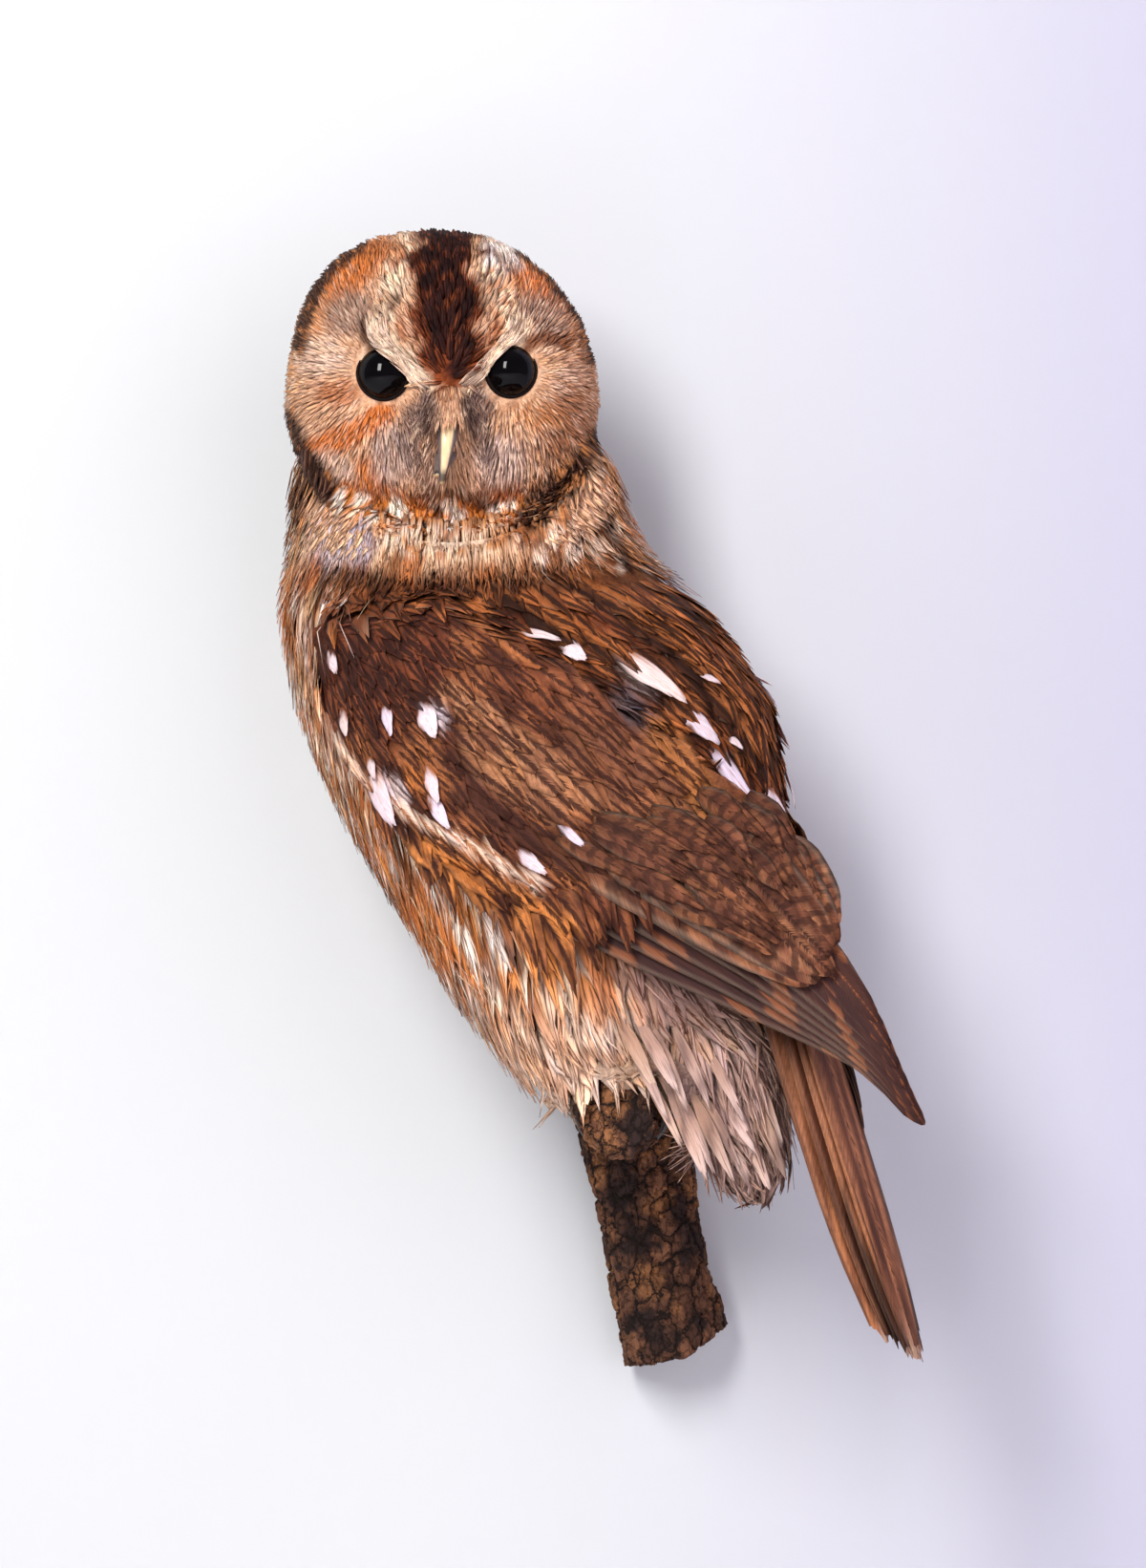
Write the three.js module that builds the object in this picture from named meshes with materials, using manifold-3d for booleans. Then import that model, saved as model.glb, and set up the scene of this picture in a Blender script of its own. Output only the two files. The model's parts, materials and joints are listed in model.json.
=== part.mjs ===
// A mounted tawny owl, life size, perched on a crooked piece of branch that hangs on a wall.
// Units are millimetres and +Z is up. +Y points into the wall, which touches the branch's
// planed back at Y = 0. The origin is on that planed back.
//
// The owl is modelled in its own frame: +X forward (where the breast points), +Y to the owl's
// left and +Z up. The group "bird" turns that frame into place. The head has a frame of its own,
// with +X out of the face, and looks back over the left shoulder.
import * as THREE from 'three';
import { LoftGeometry } from 'three/addons/geometries/LoftGeometry.js';
import { mergeGeometries, mergeVertices } from 'three/addons/utils/BufferGeometryUtils.js';
import Module from 'manifold-3d';

const wasm = await Module();
wasm.setup();

// ---------------------------------------------------------------- driving dimensions

const GAP = 0.3; // clearance between pieces that meet
const BIRD_AT = new THREE.Vector3(-20, -98, 0); // the owl's frame in the row frame
const BODY_YAW = 152; // degrees about Z; the breast points left and a little into the wall
const HEAD_YAW = 122.5; // degrees that the head is turned towards the owl's left
const HEAD_ROLL = 1.5; // degrees that the face leans
const HEAD_AT = new THREE.Vector3(50, 12, 283); // head centre in the owl's frame

const HEAD = { width: 106, up: 54, down: 49, front: 41, back: 45 };
const EYE = { radius: 9.4, apart: 41.2, above: 3.4, centre: 29.6 };
const NECK_CUT = 223; // height of the cut between neck and trunk
const TAIL = { length: 162, halfWidth: 21, coverts: 9, lean: 20, feathers: 12 };
const PERCH = { radius: 10, knob: 16, height: 42, out: 139 };
const STUB = { radius: 17.2, top: 66, bottom: -49, lean: 11.3, depth: 14 };
const FOOT_REACH = [-113, -73]; // where the left and right foot hold the perch, along Y
const TOE = { radius: 3.3, tip: 2.5 };
const CLAW_LENGTH = 13;

const COLOURS = {
  russet: 0x9a5a30,
  umber: 0x5d3a26,
  buff: 0xc79a6b,
  down: 0xd8c4b0,
  horn: 0xd9c27c,
  claw: 0x2a211d,
  eye: 0x050505,
  bark: 0x54382a,
};

// ---------------------------------------------------------------- small helpers

const rad = THREE.MathUtils.degToRad;
const mix = THREE.MathUtils.lerp;
const smooth = (x, low, high) => THREE.MathUtils.smoothstep(x, low, high);
const point = (x, y, z) => new THREE.Vector3(x, y, z);

/** A three.js geometry as a manifold-3d solid. */
function solidOf(geometry) {
  const g = geometry.index ? geometry.toNonIndexed() : geometry.clone();
  const bare = new THREE.BufferGeometry().setAttribute('position', g.getAttribute('position'));
  const merged = mergeVertices(bare, 1e-4);
  const kept = [];
  const index = merged.index.array;
  for (let i = 0; i < index.length; i += 3) {
    const [a, b, c] = index.subarray(i, i + 3);
    if (a !== b && b !== c && c !== a) kept.push(a, b, c);
  }
  const vertProperties = merged.attributes.position.array;
  const made = new wasm.Manifold(
    new wasm.Mesh({ numProp: 3, vertProperties, triVerts: new Uint32Array(kept) }),
  );
  if (made.volume() > 0) return made;
  for (let i = 0; i < kept.length; i += 3) [kept[i], kept[i + 1]] = [kept[i + 1], kept[i]];
  return new wasm.Manifold(
    new wasm.Mesh({ numProp: 3, vertProperties, triVerts: new Uint32Array(kept) }),
  );
}

/** A closed solid through cross sections, each a ring of points with no straight run in it. */
function loft(sections) {
  return solidOf(new LoftGeometry(sections, { capStart: true, capEnd: true }));
}

/** A closed solid between two grids of points, the rows of its top and of its underside. */
function sheet(tops, bottoms) {
  const skin = new LoftGeometry(tops.map((row, i) => [...row, ...bottoms[i].toReversed()]));
  const start = new LoftGeometry([bottoms[0], tops[0]], { closed: false });
  const end = new LoftGeometry([tops.at(-1), bottoms.at(-1)], { closed: false });
  return solidOf(mergeGeometries([skin, start, end]));
}

/** A three.js geometry from a solid. */
function geometryOf(solid) {
  const mesh = solid.getMesh();
  const geometry = new THREE.BufferGeometry();
  geometry.setAttribute('position', new THREE.BufferAttribute(mesh.vertProperties, 3));
  geometry.setIndex(new THREE.BufferAttribute(mesh.triVerts, 1));
  geometry.computeVertexNormals();
  return geometry;
}

/** The largest single body of a solid, which drops the crumbs that a cut leaves. */
function mainBody(solid) {
  return solid.decompose().sort((a, b) => b.volume() - a.volume())[0];
}

/** A ring of n points on an ellipse-like outline round a centre, in the plane of two axes. */
function ring(n, centre, across, up, wide, high, power = 2) {
  const points = [];
  for (let i = 0; i < n; i++) {
    const turn = (i / n) * 2 * Math.PI;
    const c = Math.cos(turn);
    const s = Math.sin(turn);
    const x = Math.sign(c) * Math.abs(c) ** (2 / power) * wide;
    const y = Math.sign(s) * Math.abs(s) ** (2 / power) * high;
    points.push(centre.clone().addScaledVector(across, x).addScaledVector(up, y));
  }
  return points;
}

/** A tapered tube along a curve; radius(t) gives [wide, high] at t from 0 to 1. */
function tube(curve, steps, sides, side, radius) {
  const sections = [];
  for (let i = 0; i <= steps; i++) {
    const t = i / steps;
    const along = curve.getTangent(t);
    const across = side.clone().addScaledVector(along, -side.dot(along)).normalize();
    const up = along.clone().cross(across);
    const [wide, high] = radius(t);
    sections.push(ring(sides, curve.getPoint(t), across, up, wide, high));
  }
  return loft(sections);
}

/** Reads named columns of a station list as smooth functions of one parameter from 0 to 1. */
function stations(rows) {
  const column = (i) => rows.map((row) => new THREE.Vector2(row[i], 0));
  const curves = rows[0].map((_, i) => new THREE.SplineCurve(column(i)));
  return (t) => curves.map((curve) => curve.getPoint(t).x);
}

// ---------------------------------------------------------------- neck and trunk

// Level slices of the feathered body: height, how far forward its middle is, half its length
// from breast to back, and half its width.
const BODY_SLICES = stations([
  [37, -6, 10, 14],
  [46, -8, 24, 36],
  [62, -12, 42, 50],
  [80, -13, 60, 54],
  [100, -7, 68, 57],
  [125, 4, 76, 60],
  [150, 13, 82, 62],
  [176, 21, 86, 63],
  [200, 32, 80, 62],
  [214, 40, 74, 58],
  [226, 46, 65, 54],
  [240, 50, 60, 51],
  [254, 52, 59, 48],
  [267, 53, 55, 44],
  [276, 53, 38, 32],
]);

function bodySolid(grow = 0) {
  const sections = [];
  const steps = 18;
  for (let i = 0; i <= steps; i++) {
    const [height, forward, long, wide] = BODY_SLICES(i / steps);
    const z = height + grow * (i / steps - 0.5) * 2;
    sections.push(
      ring(24, point(forward, 0, z), point(1, 0, 0), point(0, 1, 0), long + grow, wide + grow),
    );
  }
  return loft(sections);
}

/** Everything above or below a level, as a box. */
function slab(low, high) {
  const size = 800;
  const box = new THREE.BoxGeometry(size, size, high - low);
  box.translate(0, 0, (low + high) / 2);
  return solidOf(box);
}

// ---------------------------------------------------------------- head

const headPose = new THREE.Matrix4()
  .makeTranslation(HEAD_AT.x, HEAD_AT.y, HEAD_AT.z)
  .multiply(new THREE.Matrix4().makeRotationZ(rad(HEAD_YAW)))
  .multiply(new THREE.Matrix4().makeRotationX(rad(HEAD_ROLL)));

const posed = (solid) => solid.transform(headPose.elements);

/** Half the head's width at an angle from its equator. */
function headSlice(lift, grow) {
  const rise = Math.sin(lift);
  const girth = Math.cos(lift) ** 0.86;
  const jowl = 1 + 0.05 * smooth(-rise, -0.2, 0.45);
  return {
    z: (rise > 0 ? HEAD.up + grow : HEAD.down + grow) * rise,
    wide: (HEAD.width / 2 + grow) * girth * jowl,
    lean: -3.5 * smooth(rise, 0.2, 1),
    front: (HEAD.front + grow) * girth ** 0.8,
    back: (HEAD.back + grow) * girth,
  };
}

function headSolid(grow = 0) {
  const sections = [];
  const stacks = 11;
  const sides = 24;
  for (let i = 0; i <= stacks; i++) {
    const lift = rad(mix(-87, 87, i / stacks));
    const slice = headSlice(lift, grow);
    const points = [];
    for (let j = 0; j < sides; j++) {
      const turn = (j / sides) * 2 * Math.PI;
      const c = Math.cos(turn);
      const s = Math.sin(turn);
      const x = c > 0 ? slice.front * c ** 0.72 : slice.back * c;
      const y = slice.wide * Math.sign(s) * Math.abs(s) ** 0.9 + slice.lean;
      points.push(point(x, y, slice.z));
    }
    sections.push(points);
  }
  return loft(sections);
}

/** The shallow dish round one eye. side is +1 on the owl's left. */
function discDish(side) {
  const dish = new THREE.SphereGeometry(1, 12, 8);
  dish.scale(12, 25, 33);
  dish.translate(46.5, side * 26, -4);
  return solidOf(dish);
}

function eyeSolid(side, grow = 0) {
  const ball = new THREE.SphereGeometry(EYE.radius + grow, 14, 9);
  ball.rotateZ(Math.PI / 2);
  ball.translate(EYE.centre, (side * EYE.apart) / 2, EYE.above);
  return solidOf(ball);
}

function billUpper(grow = 0) {
  const ridge = new THREE.CatmullRomCurve3([
    point(33, 0, -6),
    point(40.5, -0.3, -10),
    point(46, -1.2, -18),
    point(47, -2.4, -26.5),
    point(44.2, -3.4, -34),
  ]);
  const radius = (t) => [mix(6.4, 0.9, t ** 0.8) + grow, mix(6.2, 0.9, t ** 1.3) + grow];
  return tube(ridge, 7, 10, point(0, 1, 0), radius);
}

function billLower(grow = 0) {
  const keel = new THREE.CatmullRomCurve3([
    point(30, 0, -21),
    point(37, -1.8, -26),
    point(41.2, -4.4, -31.5),
  ]);
  const radius = (t) => [mix(5.6, 1.4, t) + grow, mix(2.6, 0.8, t) + grow];
  return tube(keel, 4, 8, point(0, 1, 0), radius);
}

// ---------------------------------------------------------------- wings

// Ribs of the folded left wing from wrist to tip. Each gives the lower (leading) edge and the
// upper edge as forward, left, up, then how far the wing bulges out between them.
const WING_RIBS = stations([
  [76, 60, 203, 24, 66, 210, 3],
  [63, 63, 160, -22, 62, 190, 13],
  [26, 68, 128, -52, 46, 167, 15],
  [-22, 64, 102, -82, 22, 141, 13],
  [-77, 40, 79, -97, 15, 108, 5],
  [-110, 24, 63, -118, 14, 74, 1.5],
  [-128, 13, 40, -130, 12, 42, 0.5],
]);

/** A point on the wing: s from wrist to tip, t from leading to upper edge, sunk below the top. */
function wingPoint(s, t, sunk) {
  const [ax, ay, az, bx, by, bz, bulge] = WING_RIBS(s);
  const low = point(ax, ay, az);
  const high = point(bx, by, bz);
  const chord = high.clone().sub(low);
  const along = point(-0.76, -0.2, -0.62);
  const out = chord.clone().cross(along).normalize();
  if (out.y < 0) out.negate();
  return low
    .addScaledVector(chord, t)
    .addScaledVector(out, 4 * bulge * t * (1 - t) - sunk);
}

// Each sheet of the wing: where it starts and ends along it, its edges across it, how far it
// lies under the wing's top and how thick it is.
const WING_SHEETS = {
  coverts: {
    from: 0,
    to: 0.47,
    edges: () => [0, 1],
    sunk: 0,
    thick: (s) => mix(13, 9, s / 0.47),
    steps: 8,
    columns: 8,
  },
  secondaries: {
    from: 0.475,
    to: 0.72,
    edges: (s) => [mix(0.3, 0.34, s), 1],
    sunk: 0.8,
    thick: () => 4,
    steps: 6,
    columns: 6,
    tipRound: 0.06,
  },
  primaries: {
    from: 0.475,
    to: 1,
    edges: () => [0, 1],
    sunk: 5.2,
    thick: (s) => mix(5.2, 1.2, smooth(s, 0.5, 1)),
    steps: 10,
    columns: 6,
  },
};

function wingSheet({ from, to, edges, sunk, thick, steps, columns, tipRound = 0 }, grow = 0) {
  const tops = [];
  const bottoms = [];
  const more = grow / 60;
  for (let i = 0; i <= steps; i++) {
    const top = [];
    const bottom = [];
    for (let j = 0; j <= columns; j++) {
      const across = j / columns;
      const rounding = tipRound * (2 * across - 1) ** 2;
      const s = mix(from, to - rounding, i / steps);
      const [low, high] = edges(s);
      const t = mix(low - more, high + more, across);
      const full = thick(s) * (0.35 + 0.65 * Math.sin(Math.PI * across) ** 0.6);
      top.push(wingPoint(s, t, sunk - grow));
      bottom.push(wingPoint(s, t, sunk + full + grow));
    }
    tops.push(top);
    bottoms.push(bottom);
  }
  return sheet(tops, bottoms);
}

// ---------------------------------------------------------------- tail and vent

const tailAxis = point(-Math.sin(rad(TAIL.lean)), 0, -Math.cos(rad(TAIL.lean)));
const tailUp = point(-Math.cos(rad(TAIL.lean)), 0, Math.sin(rad(TAIL.lean)));
const tailRoot = point(-65, 0, 113);

/** How far each place across the closed tail reaches, as a share of its length. */
function tailReach(across) {
  const place = ((across + 1) / 2) * TAIL.feathers;
  const tips = Math.abs(Math.sin(Math.PI * place)) ** 0.5;
  const rounding = across > 0 ? 0.07 : 0.02;
  return 1 - rounding * Math.abs(across) ** 1.5 - 0.022 * (1 - tips);
}

function tailSolid(grow = 0) {
  const tops = [];
  const bottoms = [];
  const columns = TAIL.feathers * 2;
  const steps = 4;
  for (let i = 0; i <= steps; i++) {
    const share = i / steps;
    const spread = (TAIL.halfWidth + grow) * mix(0.62, 1, Math.sin(share * 1.9));
    const top = [];
    const bottom = [];
    for (let j = 0; j <= columns; j++) {
      const across = mix(-1, 1, j / columns);
      const reach = TAIL.length * tailReach(across) * share + grow * (2 * share - 1);
      const roof = -7 * across ** 2 * mix(1, 0.6, share);
      const rise = mix(TAIL.coverts, 0.8, share ** 0.8) * mix(1, 0.4, across ** 2) + grow;
      const base = tailRoot
        .clone()
        .addScaledVector(tailAxis, reach)
        .add(point(0, across * spread, 0));
      top.push(base.clone().addScaledVector(tailUp, roof + rise));
      bottom.push(base.clone().addScaledVector(tailUp, roof - 0.9 - grow));
    }
    tops.push(top);
    bottoms.push(bottom);
  }
  return sheet(tops, bottoms);
}

// Level slices of the loose plumage below the vent: height, forward, half length, half width.
const VENT_SLICES = stations([
  [8, -60, 5, 6],
  [16, -58, 16, 17],
  [34, -54, 23, 26],
  [56, -48, 28, 32],
  [80, -42, 30, 36],
  [100, -36, 22, 30],
]);

function ventSolid() {
  const sections = [];
  const steps = 10;
  for (let i = 0; i <= steps; i++) {
    const [height, forward, long, wide] = VENT_SLICES(i / steps);
    sections.push(
      ring(16, point(forward, 0, height), point(1, 0, 0), point(0, 1, 0), long, wide),
    );
  }
  return loft(sections);
}

// ---------------------------------------------------------------- branch, in the row frame

const perchStart = point(-5, -14, PERCH.height - 5);
const perchEnd = point(-10.5, -PERCH.out, PERCH.height);

/** A slow, uneven swelling that keeps a piece of wood from being a plain round. */
function woodSwell(turn, along) {
  return (
    0.03 * Math.sin(2 * turn + along * 5) +
    0.035 * Math.sin(3 * turn - along * 9 + 1) +
    0.025 * Math.sin(5 * turn + along * 17)
  );
}

function limb(start, end, steps, sides, radius) {
  const along = end.clone().sub(start).normalize();
  const across = point(0, 0, 1).cross(along);
  if (across.lengthSq() < 0.1) across.set(1, 0, 0);
  across.addScaledVector(along, -across.dot(along)).normalize();
  const up = along.clone().cross(across);
  const sections = [];
  for (let i = 0; i <= steps; i++) {
    const t = i / steps;
    const centre = start.clone().lerp(end, t);
    const points = ring(sides, point(0, 0, 0), across, up, 1, 1);
    sections.push(
      points.map((p, j) => {
        const turn = (j / sides) * 2 * Math.PI;
        return p.multiplyScalar(radius(t) * (1 + woodSwell(turn, t))).add(centre);
      }),
    );
  }
  return loft(sections);
}

function branchSolid() {
  const slope = Math.tan(rad(STUB.lean));
  const axisAt = (z) => point(0.9 - slope * z, -STUB.depth, z);
  const stubRadius = (t) => {
    const foot = 2.4 * (1 - smooth(t, 0, 0.25));
    const shoulder = 2.8 * smooth(t, 0.4, 0.7);
    return (STUB.radius + foot + shoulder) * mix(1, 0.72, smooth(t, 0.93, 1));
  };
  const stub = limb(axisAt(STUB.bottom), axisAt(STUB.top), 8, 14, stubRadius);
  const armRadius = (t) => {
    const root = 5 * (1 - smooth(t, 0, 0.25));
    const knob = (PERCH.knob - PERCH.radius) * smooth(t, 0.9, 0.95);
    return (PERCH.radius + root + knob) * mix(1, 0.8, smooth(t, 0.97, 1));
  };
  const arm = limb(perchStart, perchEnd, 18, 10, armRadius);
  const room = new THREE.BoxGeometry(200, 200, 200);
  room.translate(0, -100, 0);
  const chop = new THREE.BoxGeometry(100, 100, 20);
  chop.rotateY(rad(-33)).translate(23, 0, -54);
  return stub.add(arm).intersect(solidOf(room)).subtract(solidOf(chop));
}

// ---------------------------------------------------------------- legs and feet

const birdPose = new THREE.Matrix4()
  .makeTranslation(BIRD_AT.x, BIRD_AT.y, BIRD_AT.z)
  .multiply(new THREE.Matrix4().makeRotationZ(rad(BODY_YAW)));
const intoBird = birdPose.clone().invert();

/** A point of the perch's axis at a distance out from the wall, in the owl's frame. */
function perchAt(y) {
  const t = (y - perchStart.y) / (perchEnd.y - perchStart.y);
  return perchStart.clone().lerp(perchEnd, t).applyMatrix4(intoBird);
}

const perchDirection = perchEnd.clone().sub(perchStart).normalize()
  .transformDirection(intoBird);
const perchFront = point(0, 0, 1).cross(perchDirection).negate().normalize();

/** A point on a circle round the perch: 0 degrees on top, growing towards the given side. */
function aroundPerch(centre, degrees, radius, side) {
  return centre
    .clone()
    .addScaledVector(perchFront, side * Math.sin(rad(degrees)) * radius)
    .add(point(0, 0, Math.cos(rad(degrees)) * radius));
}

// Each toe: +1 over the front of the perch or -1 over its back, how far along the perch it
// starts and ends, and the angle round the perch where it ends.
const TOES = [
  { side: 1, root: 2, end: 6.5, turn: 96 },
  { side: 1, root: -2, end: -5, turn: 104 },
  { side: -1, root: 2, end: 5.5, turn: 88 },
  { side: -1, root: -2, end: -5.5, turn: 80 },
];

function toeCurve(centre, toe, from, to, clear) {
  const points = [];
  for (let i = 0; i <= 5; i++) {
    const t = i / 5;
    const turn = mix(from, to, t);
    const slide = mix(toe.root, toe.end, Math.min(1, turn / toe.turn));
    const arched = clear + 1.6 * Math.sin(Math.PI * Math.min(1, turn / toe.turn));
    points.push(
      aroundPerch(centre, turn, arched, toe.side).addScaledVector(perchDirection, slide),
    );
  }
  return new THREE.CatmullRomCurve3(points);
}

function footSolid(y, grow = 0) {
  const centre = perchAt(y);
  const clear = PERCH.radius * 1.12 + TOE.radius + GAP;
  const pad = new THREE.SphereGeometry(5.6 + grow, 8, 5);
  pad.scale(1, 1.1, 0.8);
  pad.translate(...centre.clone().add(point(0, 0, clear + 1.4)).toArray());
  return TOES.reduce((foot, toe) => {
    const thick = (t) => mix(TOE.radius, TOE.tip, t) + grow;
    const radius = (t) => [thick(t), thick(t)];
    const curve = toeCurve(centre, toe, 0, toe.turn, clear);
    return foot.add(tube(curve, 4, 5, perchDirection, radius));
  }, solidOf(pad));
}

function clawSolid(y, toe) {
  const centre = perchAt(y);
  const clear = PERCH.radius * 1.12 + TOE.radius + GAP;
  const degrees = THREE.MathUtils.radToDeg(CLAW_LENGTH / clear);
  const curve = toeCurve(centre, toe, toe.turn - 6, toe.turn + degrees, clear - 0.6);
  const radius = (t) => [mix(1.9, 0.35, t), mix(2.1, 0.35, t)];
  return tube(curve, 3, 5, perchDirection, radius);
}

function legSolid(y, side, grow = 0) {
  const ankle = perchAt(y).add(point(0, 0, PERCH.radius + 8));
  const hip = point(-10, side * 24, 84 + grow);
  const shank = new THREE.CatmullRomCurve3([ankle, ankle.clone().lerp(hip, 0.5), hip]);
  const radius = (t) => [mix(6.4, 13, t) + grow, mix(6.4, 12, t) + grow];
  return tube(shank, 4, 10, point(1, 0, 0), radius);
}

// ---------------------------------------------------------------- assembly

const root = new THREE.Group();
const bird = new THREE.Group();
bird.position.copy(BIRD_AT);
bird.rotation.z = rad(BODY_YAW);
root.add(bird);

function material(colour, roughness = 0.85) {
  return new THREE.MeshStandardMaterial({ color: COLOURS[colour], roughness, metalness: 0 });
}

function place(group, name, solid, colour, roughness) {
  const mesh = new THREE.Mesh(geometryOf(mainBody(solid)), material(colour, roughness));
  mesh.name = name;
  group.add(mesh);
}

const SIDES = { left: 1, right: -1 };
place(root, 'branch', branchSolid(), 'bark', 0.95);

// Head: the bill and eyes take their room out of it. The neck stays behind the face.
const grownHead = posed(headSolid(GAP));
const faceRoom = new THREE.CylinderGeometry(1, 1, 60, 24);
faceRoom.rotateZ(Math.PI / 2).scale(1, HEAD.width / 2, HEAD.down + GAP).translate(44, 0, 0);
const eyeRooms = Object.values(SIDES).map((side) => eyeSolid(side, GAP));
const head = [...Object.values(SIDES).map(discDish), ...eyeRooms, billUpper(GAP), billLower(GAP)]
  .reduce((solid, cutter) => solid.subtract(cutter), headSolid());
place(bird, 'head', posed(head), 'russet');
place(bird, 'bill_upper', posed(billUpper()), 'horn', 0.35);
place(bird, 'bill_lower', posed(billLower().subtract(billUpper(GAP))), 'horn', 0.4);
for (const [name, side] of Object.entries(SIDES)) {
  place(bird, `eye_${name}`, posed(eyeSolid(side).subtract(billUpper(GAP))), 'eye', 0.05);
}

// Trunk and neck are one body, parted by a thin level cut and hollowed round what they meet.
const body = bodySolid();
const grownBody = bodySolid(2 * GAP);
const perchRoom = tube(
  new THREE.LineCurve3(perchAt(20), perchAt(-PERCH.out - 2)),
  1,
  24,
  point(0, 0, 1),
  () => [PERCH.radius + 11, PERCH.radius + 11],
);
const feet = FOOT_REACH.map((y) => footSolid(y));
const footRooms = FOOT_REACH.map((y) => footSolid(y, GAP));
const legRooms = FOOT_REACH.map((y, i) => legSolid(y, i === 0 ? 1 : -1, GAP));
const legs = FOOT_REACH.map((y, i) => legSolid(y, i === 0 ? 1 : -1).subtract(footRooms[i]));

const trunk = legRooms.reduce(
  (solid, room) => solid.subtract(room),
  body.intersect(slab(0, NECK_CUT)).subtract(perchRoom),
);
const neck = body
  .intersect(slab(NECK_CUT + GAP, 400))
  .subtract(grownHead)
  .subtract(posed(solidOf(faceRoom)));
place(bird, 'neck', neck, 'buff');
place(bird, 'trunk', trunk, 'umber');

const tailRoom = tailSolid(GAP);
place(bird, 'tail', tailSolid().subtract(grownBody), 'umber');

// Wings: the right one is the left one mirrored and folded closer to the tail.
const mirror = new THREE.Matrix4().makeScale(1, -1, 1);
const foldRight = new THREE.Matrix4()
  .makeTranslation(63, 0, 193)
  .multiply(new THREE.Matrix4().makeRotationY(rad(-8.5)))
  .multiply(new THREE.Matrix4().makeTranslation(-60, 0, -190))
  .multiply(mirror);
const folded = (solid, side) => (side > 0 ? solid : solid.transform(foldRight.elements));
const wingRooms = [];
for (const [name, side] of Object.entries(SIDES)) {
  for (const [part, shape] of Object.entries(WING_SHEETS)) {
    const wing = folded(wingSheet(shape), side).subtract(grownBody).subtract(tailRoom);
    place(bird, `wing_${name}_${part}`, wing, 'russet');
    wingRooms.push(folded(wingSheet(shape, GAP), side));
  }
}

const vent = [tailRoom, grownBody, perchRoom, ...wingRooms]
  .reduce((solid, room) => solid.subtract(room), ventSolid());
place(bird, 'vent', vent, 'down');

FOOT_REACH.forEach((y, i) => {
  const name = i === 0 ? 'left' : 'right';
  place(bird, `leg_${name}`, legs[i], 'down');
  const claws = TOES.map((toe) => clawSolid(y, toe));
  const clawRooms = claws.reduce((all, claw) => all.add(claw));
  place(bird, `foot_${name}`, feet[i].subtract(clawRooms), 'down');
  claws.forEach((claw, j) => place(bird, `claw_${name}_${j + 1}`, claw, 'claw', 0.3));
});

export default root;
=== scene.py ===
import itertools
import json
import copy
import math

import bmesh
import bpy
import numpy as np
from bpy.props import FloatProperty, FloatVectorProperty, IntProperty, PointerProperty
from bpy.types import Operator, Panel, PropertyGroup
from mathutils import Matrix, Vector
from mathutils.bvhtree import BVHTree
from mathutils.kdtree import KDTree

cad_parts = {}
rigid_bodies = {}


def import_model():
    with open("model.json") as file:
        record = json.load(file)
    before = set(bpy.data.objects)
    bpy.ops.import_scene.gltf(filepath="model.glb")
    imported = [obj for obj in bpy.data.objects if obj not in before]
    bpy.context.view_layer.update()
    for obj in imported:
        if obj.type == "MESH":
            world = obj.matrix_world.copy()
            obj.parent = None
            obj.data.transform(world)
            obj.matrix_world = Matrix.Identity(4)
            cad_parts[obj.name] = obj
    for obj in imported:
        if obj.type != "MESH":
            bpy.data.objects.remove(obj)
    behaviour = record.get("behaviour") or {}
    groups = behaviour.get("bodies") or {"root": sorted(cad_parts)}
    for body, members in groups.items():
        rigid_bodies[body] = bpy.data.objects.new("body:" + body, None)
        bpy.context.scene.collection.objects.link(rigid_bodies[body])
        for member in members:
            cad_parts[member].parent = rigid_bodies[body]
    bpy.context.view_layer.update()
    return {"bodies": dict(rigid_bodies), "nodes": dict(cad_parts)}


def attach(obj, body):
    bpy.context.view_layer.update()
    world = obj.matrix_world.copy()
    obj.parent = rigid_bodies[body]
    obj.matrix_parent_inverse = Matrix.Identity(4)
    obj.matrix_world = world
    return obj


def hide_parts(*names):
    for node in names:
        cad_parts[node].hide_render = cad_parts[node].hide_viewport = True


bl_info = {
    "name": "Mounted tawny owl",
    "version": (1, 0, 0),
    "blender": (4, 5, 0),
    "location": "3D View > Sidebar > Owl",
    "description": "Plumage, eyes, bill, claws and branch for a mounted tawny owl",
    "category": "Object",
}

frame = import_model()
BODY = next(iter(frame["bodies"]))
MM = 0.001  # every size below is in millimetres, and a mesh is made in metres

# Places of the bird's parts, in millimetres. The bird's own frame has x forward,
# y to its left and z up. The head's frame has x out of the face.
BIRD_AT = np.array((-20.0, -98.0, 0.0))
BODY_YAW = 152
HEAD_AT = np.array((50.0, 12.0, 283.0))
HEAD_YAW = 122.5
HEAD_ROLL = 1.5
EYE_RADIUS = 9.4
EYE_APART = 41.2
EYE_ABOVE = 3.4
EYE_FORWARD = 29.6
BILL_RIDGE = ((33, 0, -6), (40.5, -0.3, -10), (46, -1.2, -18), (47, -2.4, -26.5), (44.2, -3.4, -34.2))
WING_RIBS = np.array((
    (76, 60, 203, 24, 66, 210, 3), (63, 63, 160, -22, 62, 190, 13),
    (26, 68, 128, -52, 46, 167, 15), (-22, 64, 102, -82, 22, 141, 13),
    (-77, 40, 79, -97, 15, 108, 5), (-110, 24, 63, -118, 14, 74, 1.5),
    (-128, 13, 40, -130, 12, 42, 0.5)), float)
WING_OUT = (-0.76, -0.2, -0.62)
TAIL_ROOT = np.array((-65.0, 0.0, 113.0))
TAIL_LEAN = 20
TAIL_LENGTH = 162
TAIL_HALF_WIDTH = 21

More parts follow.
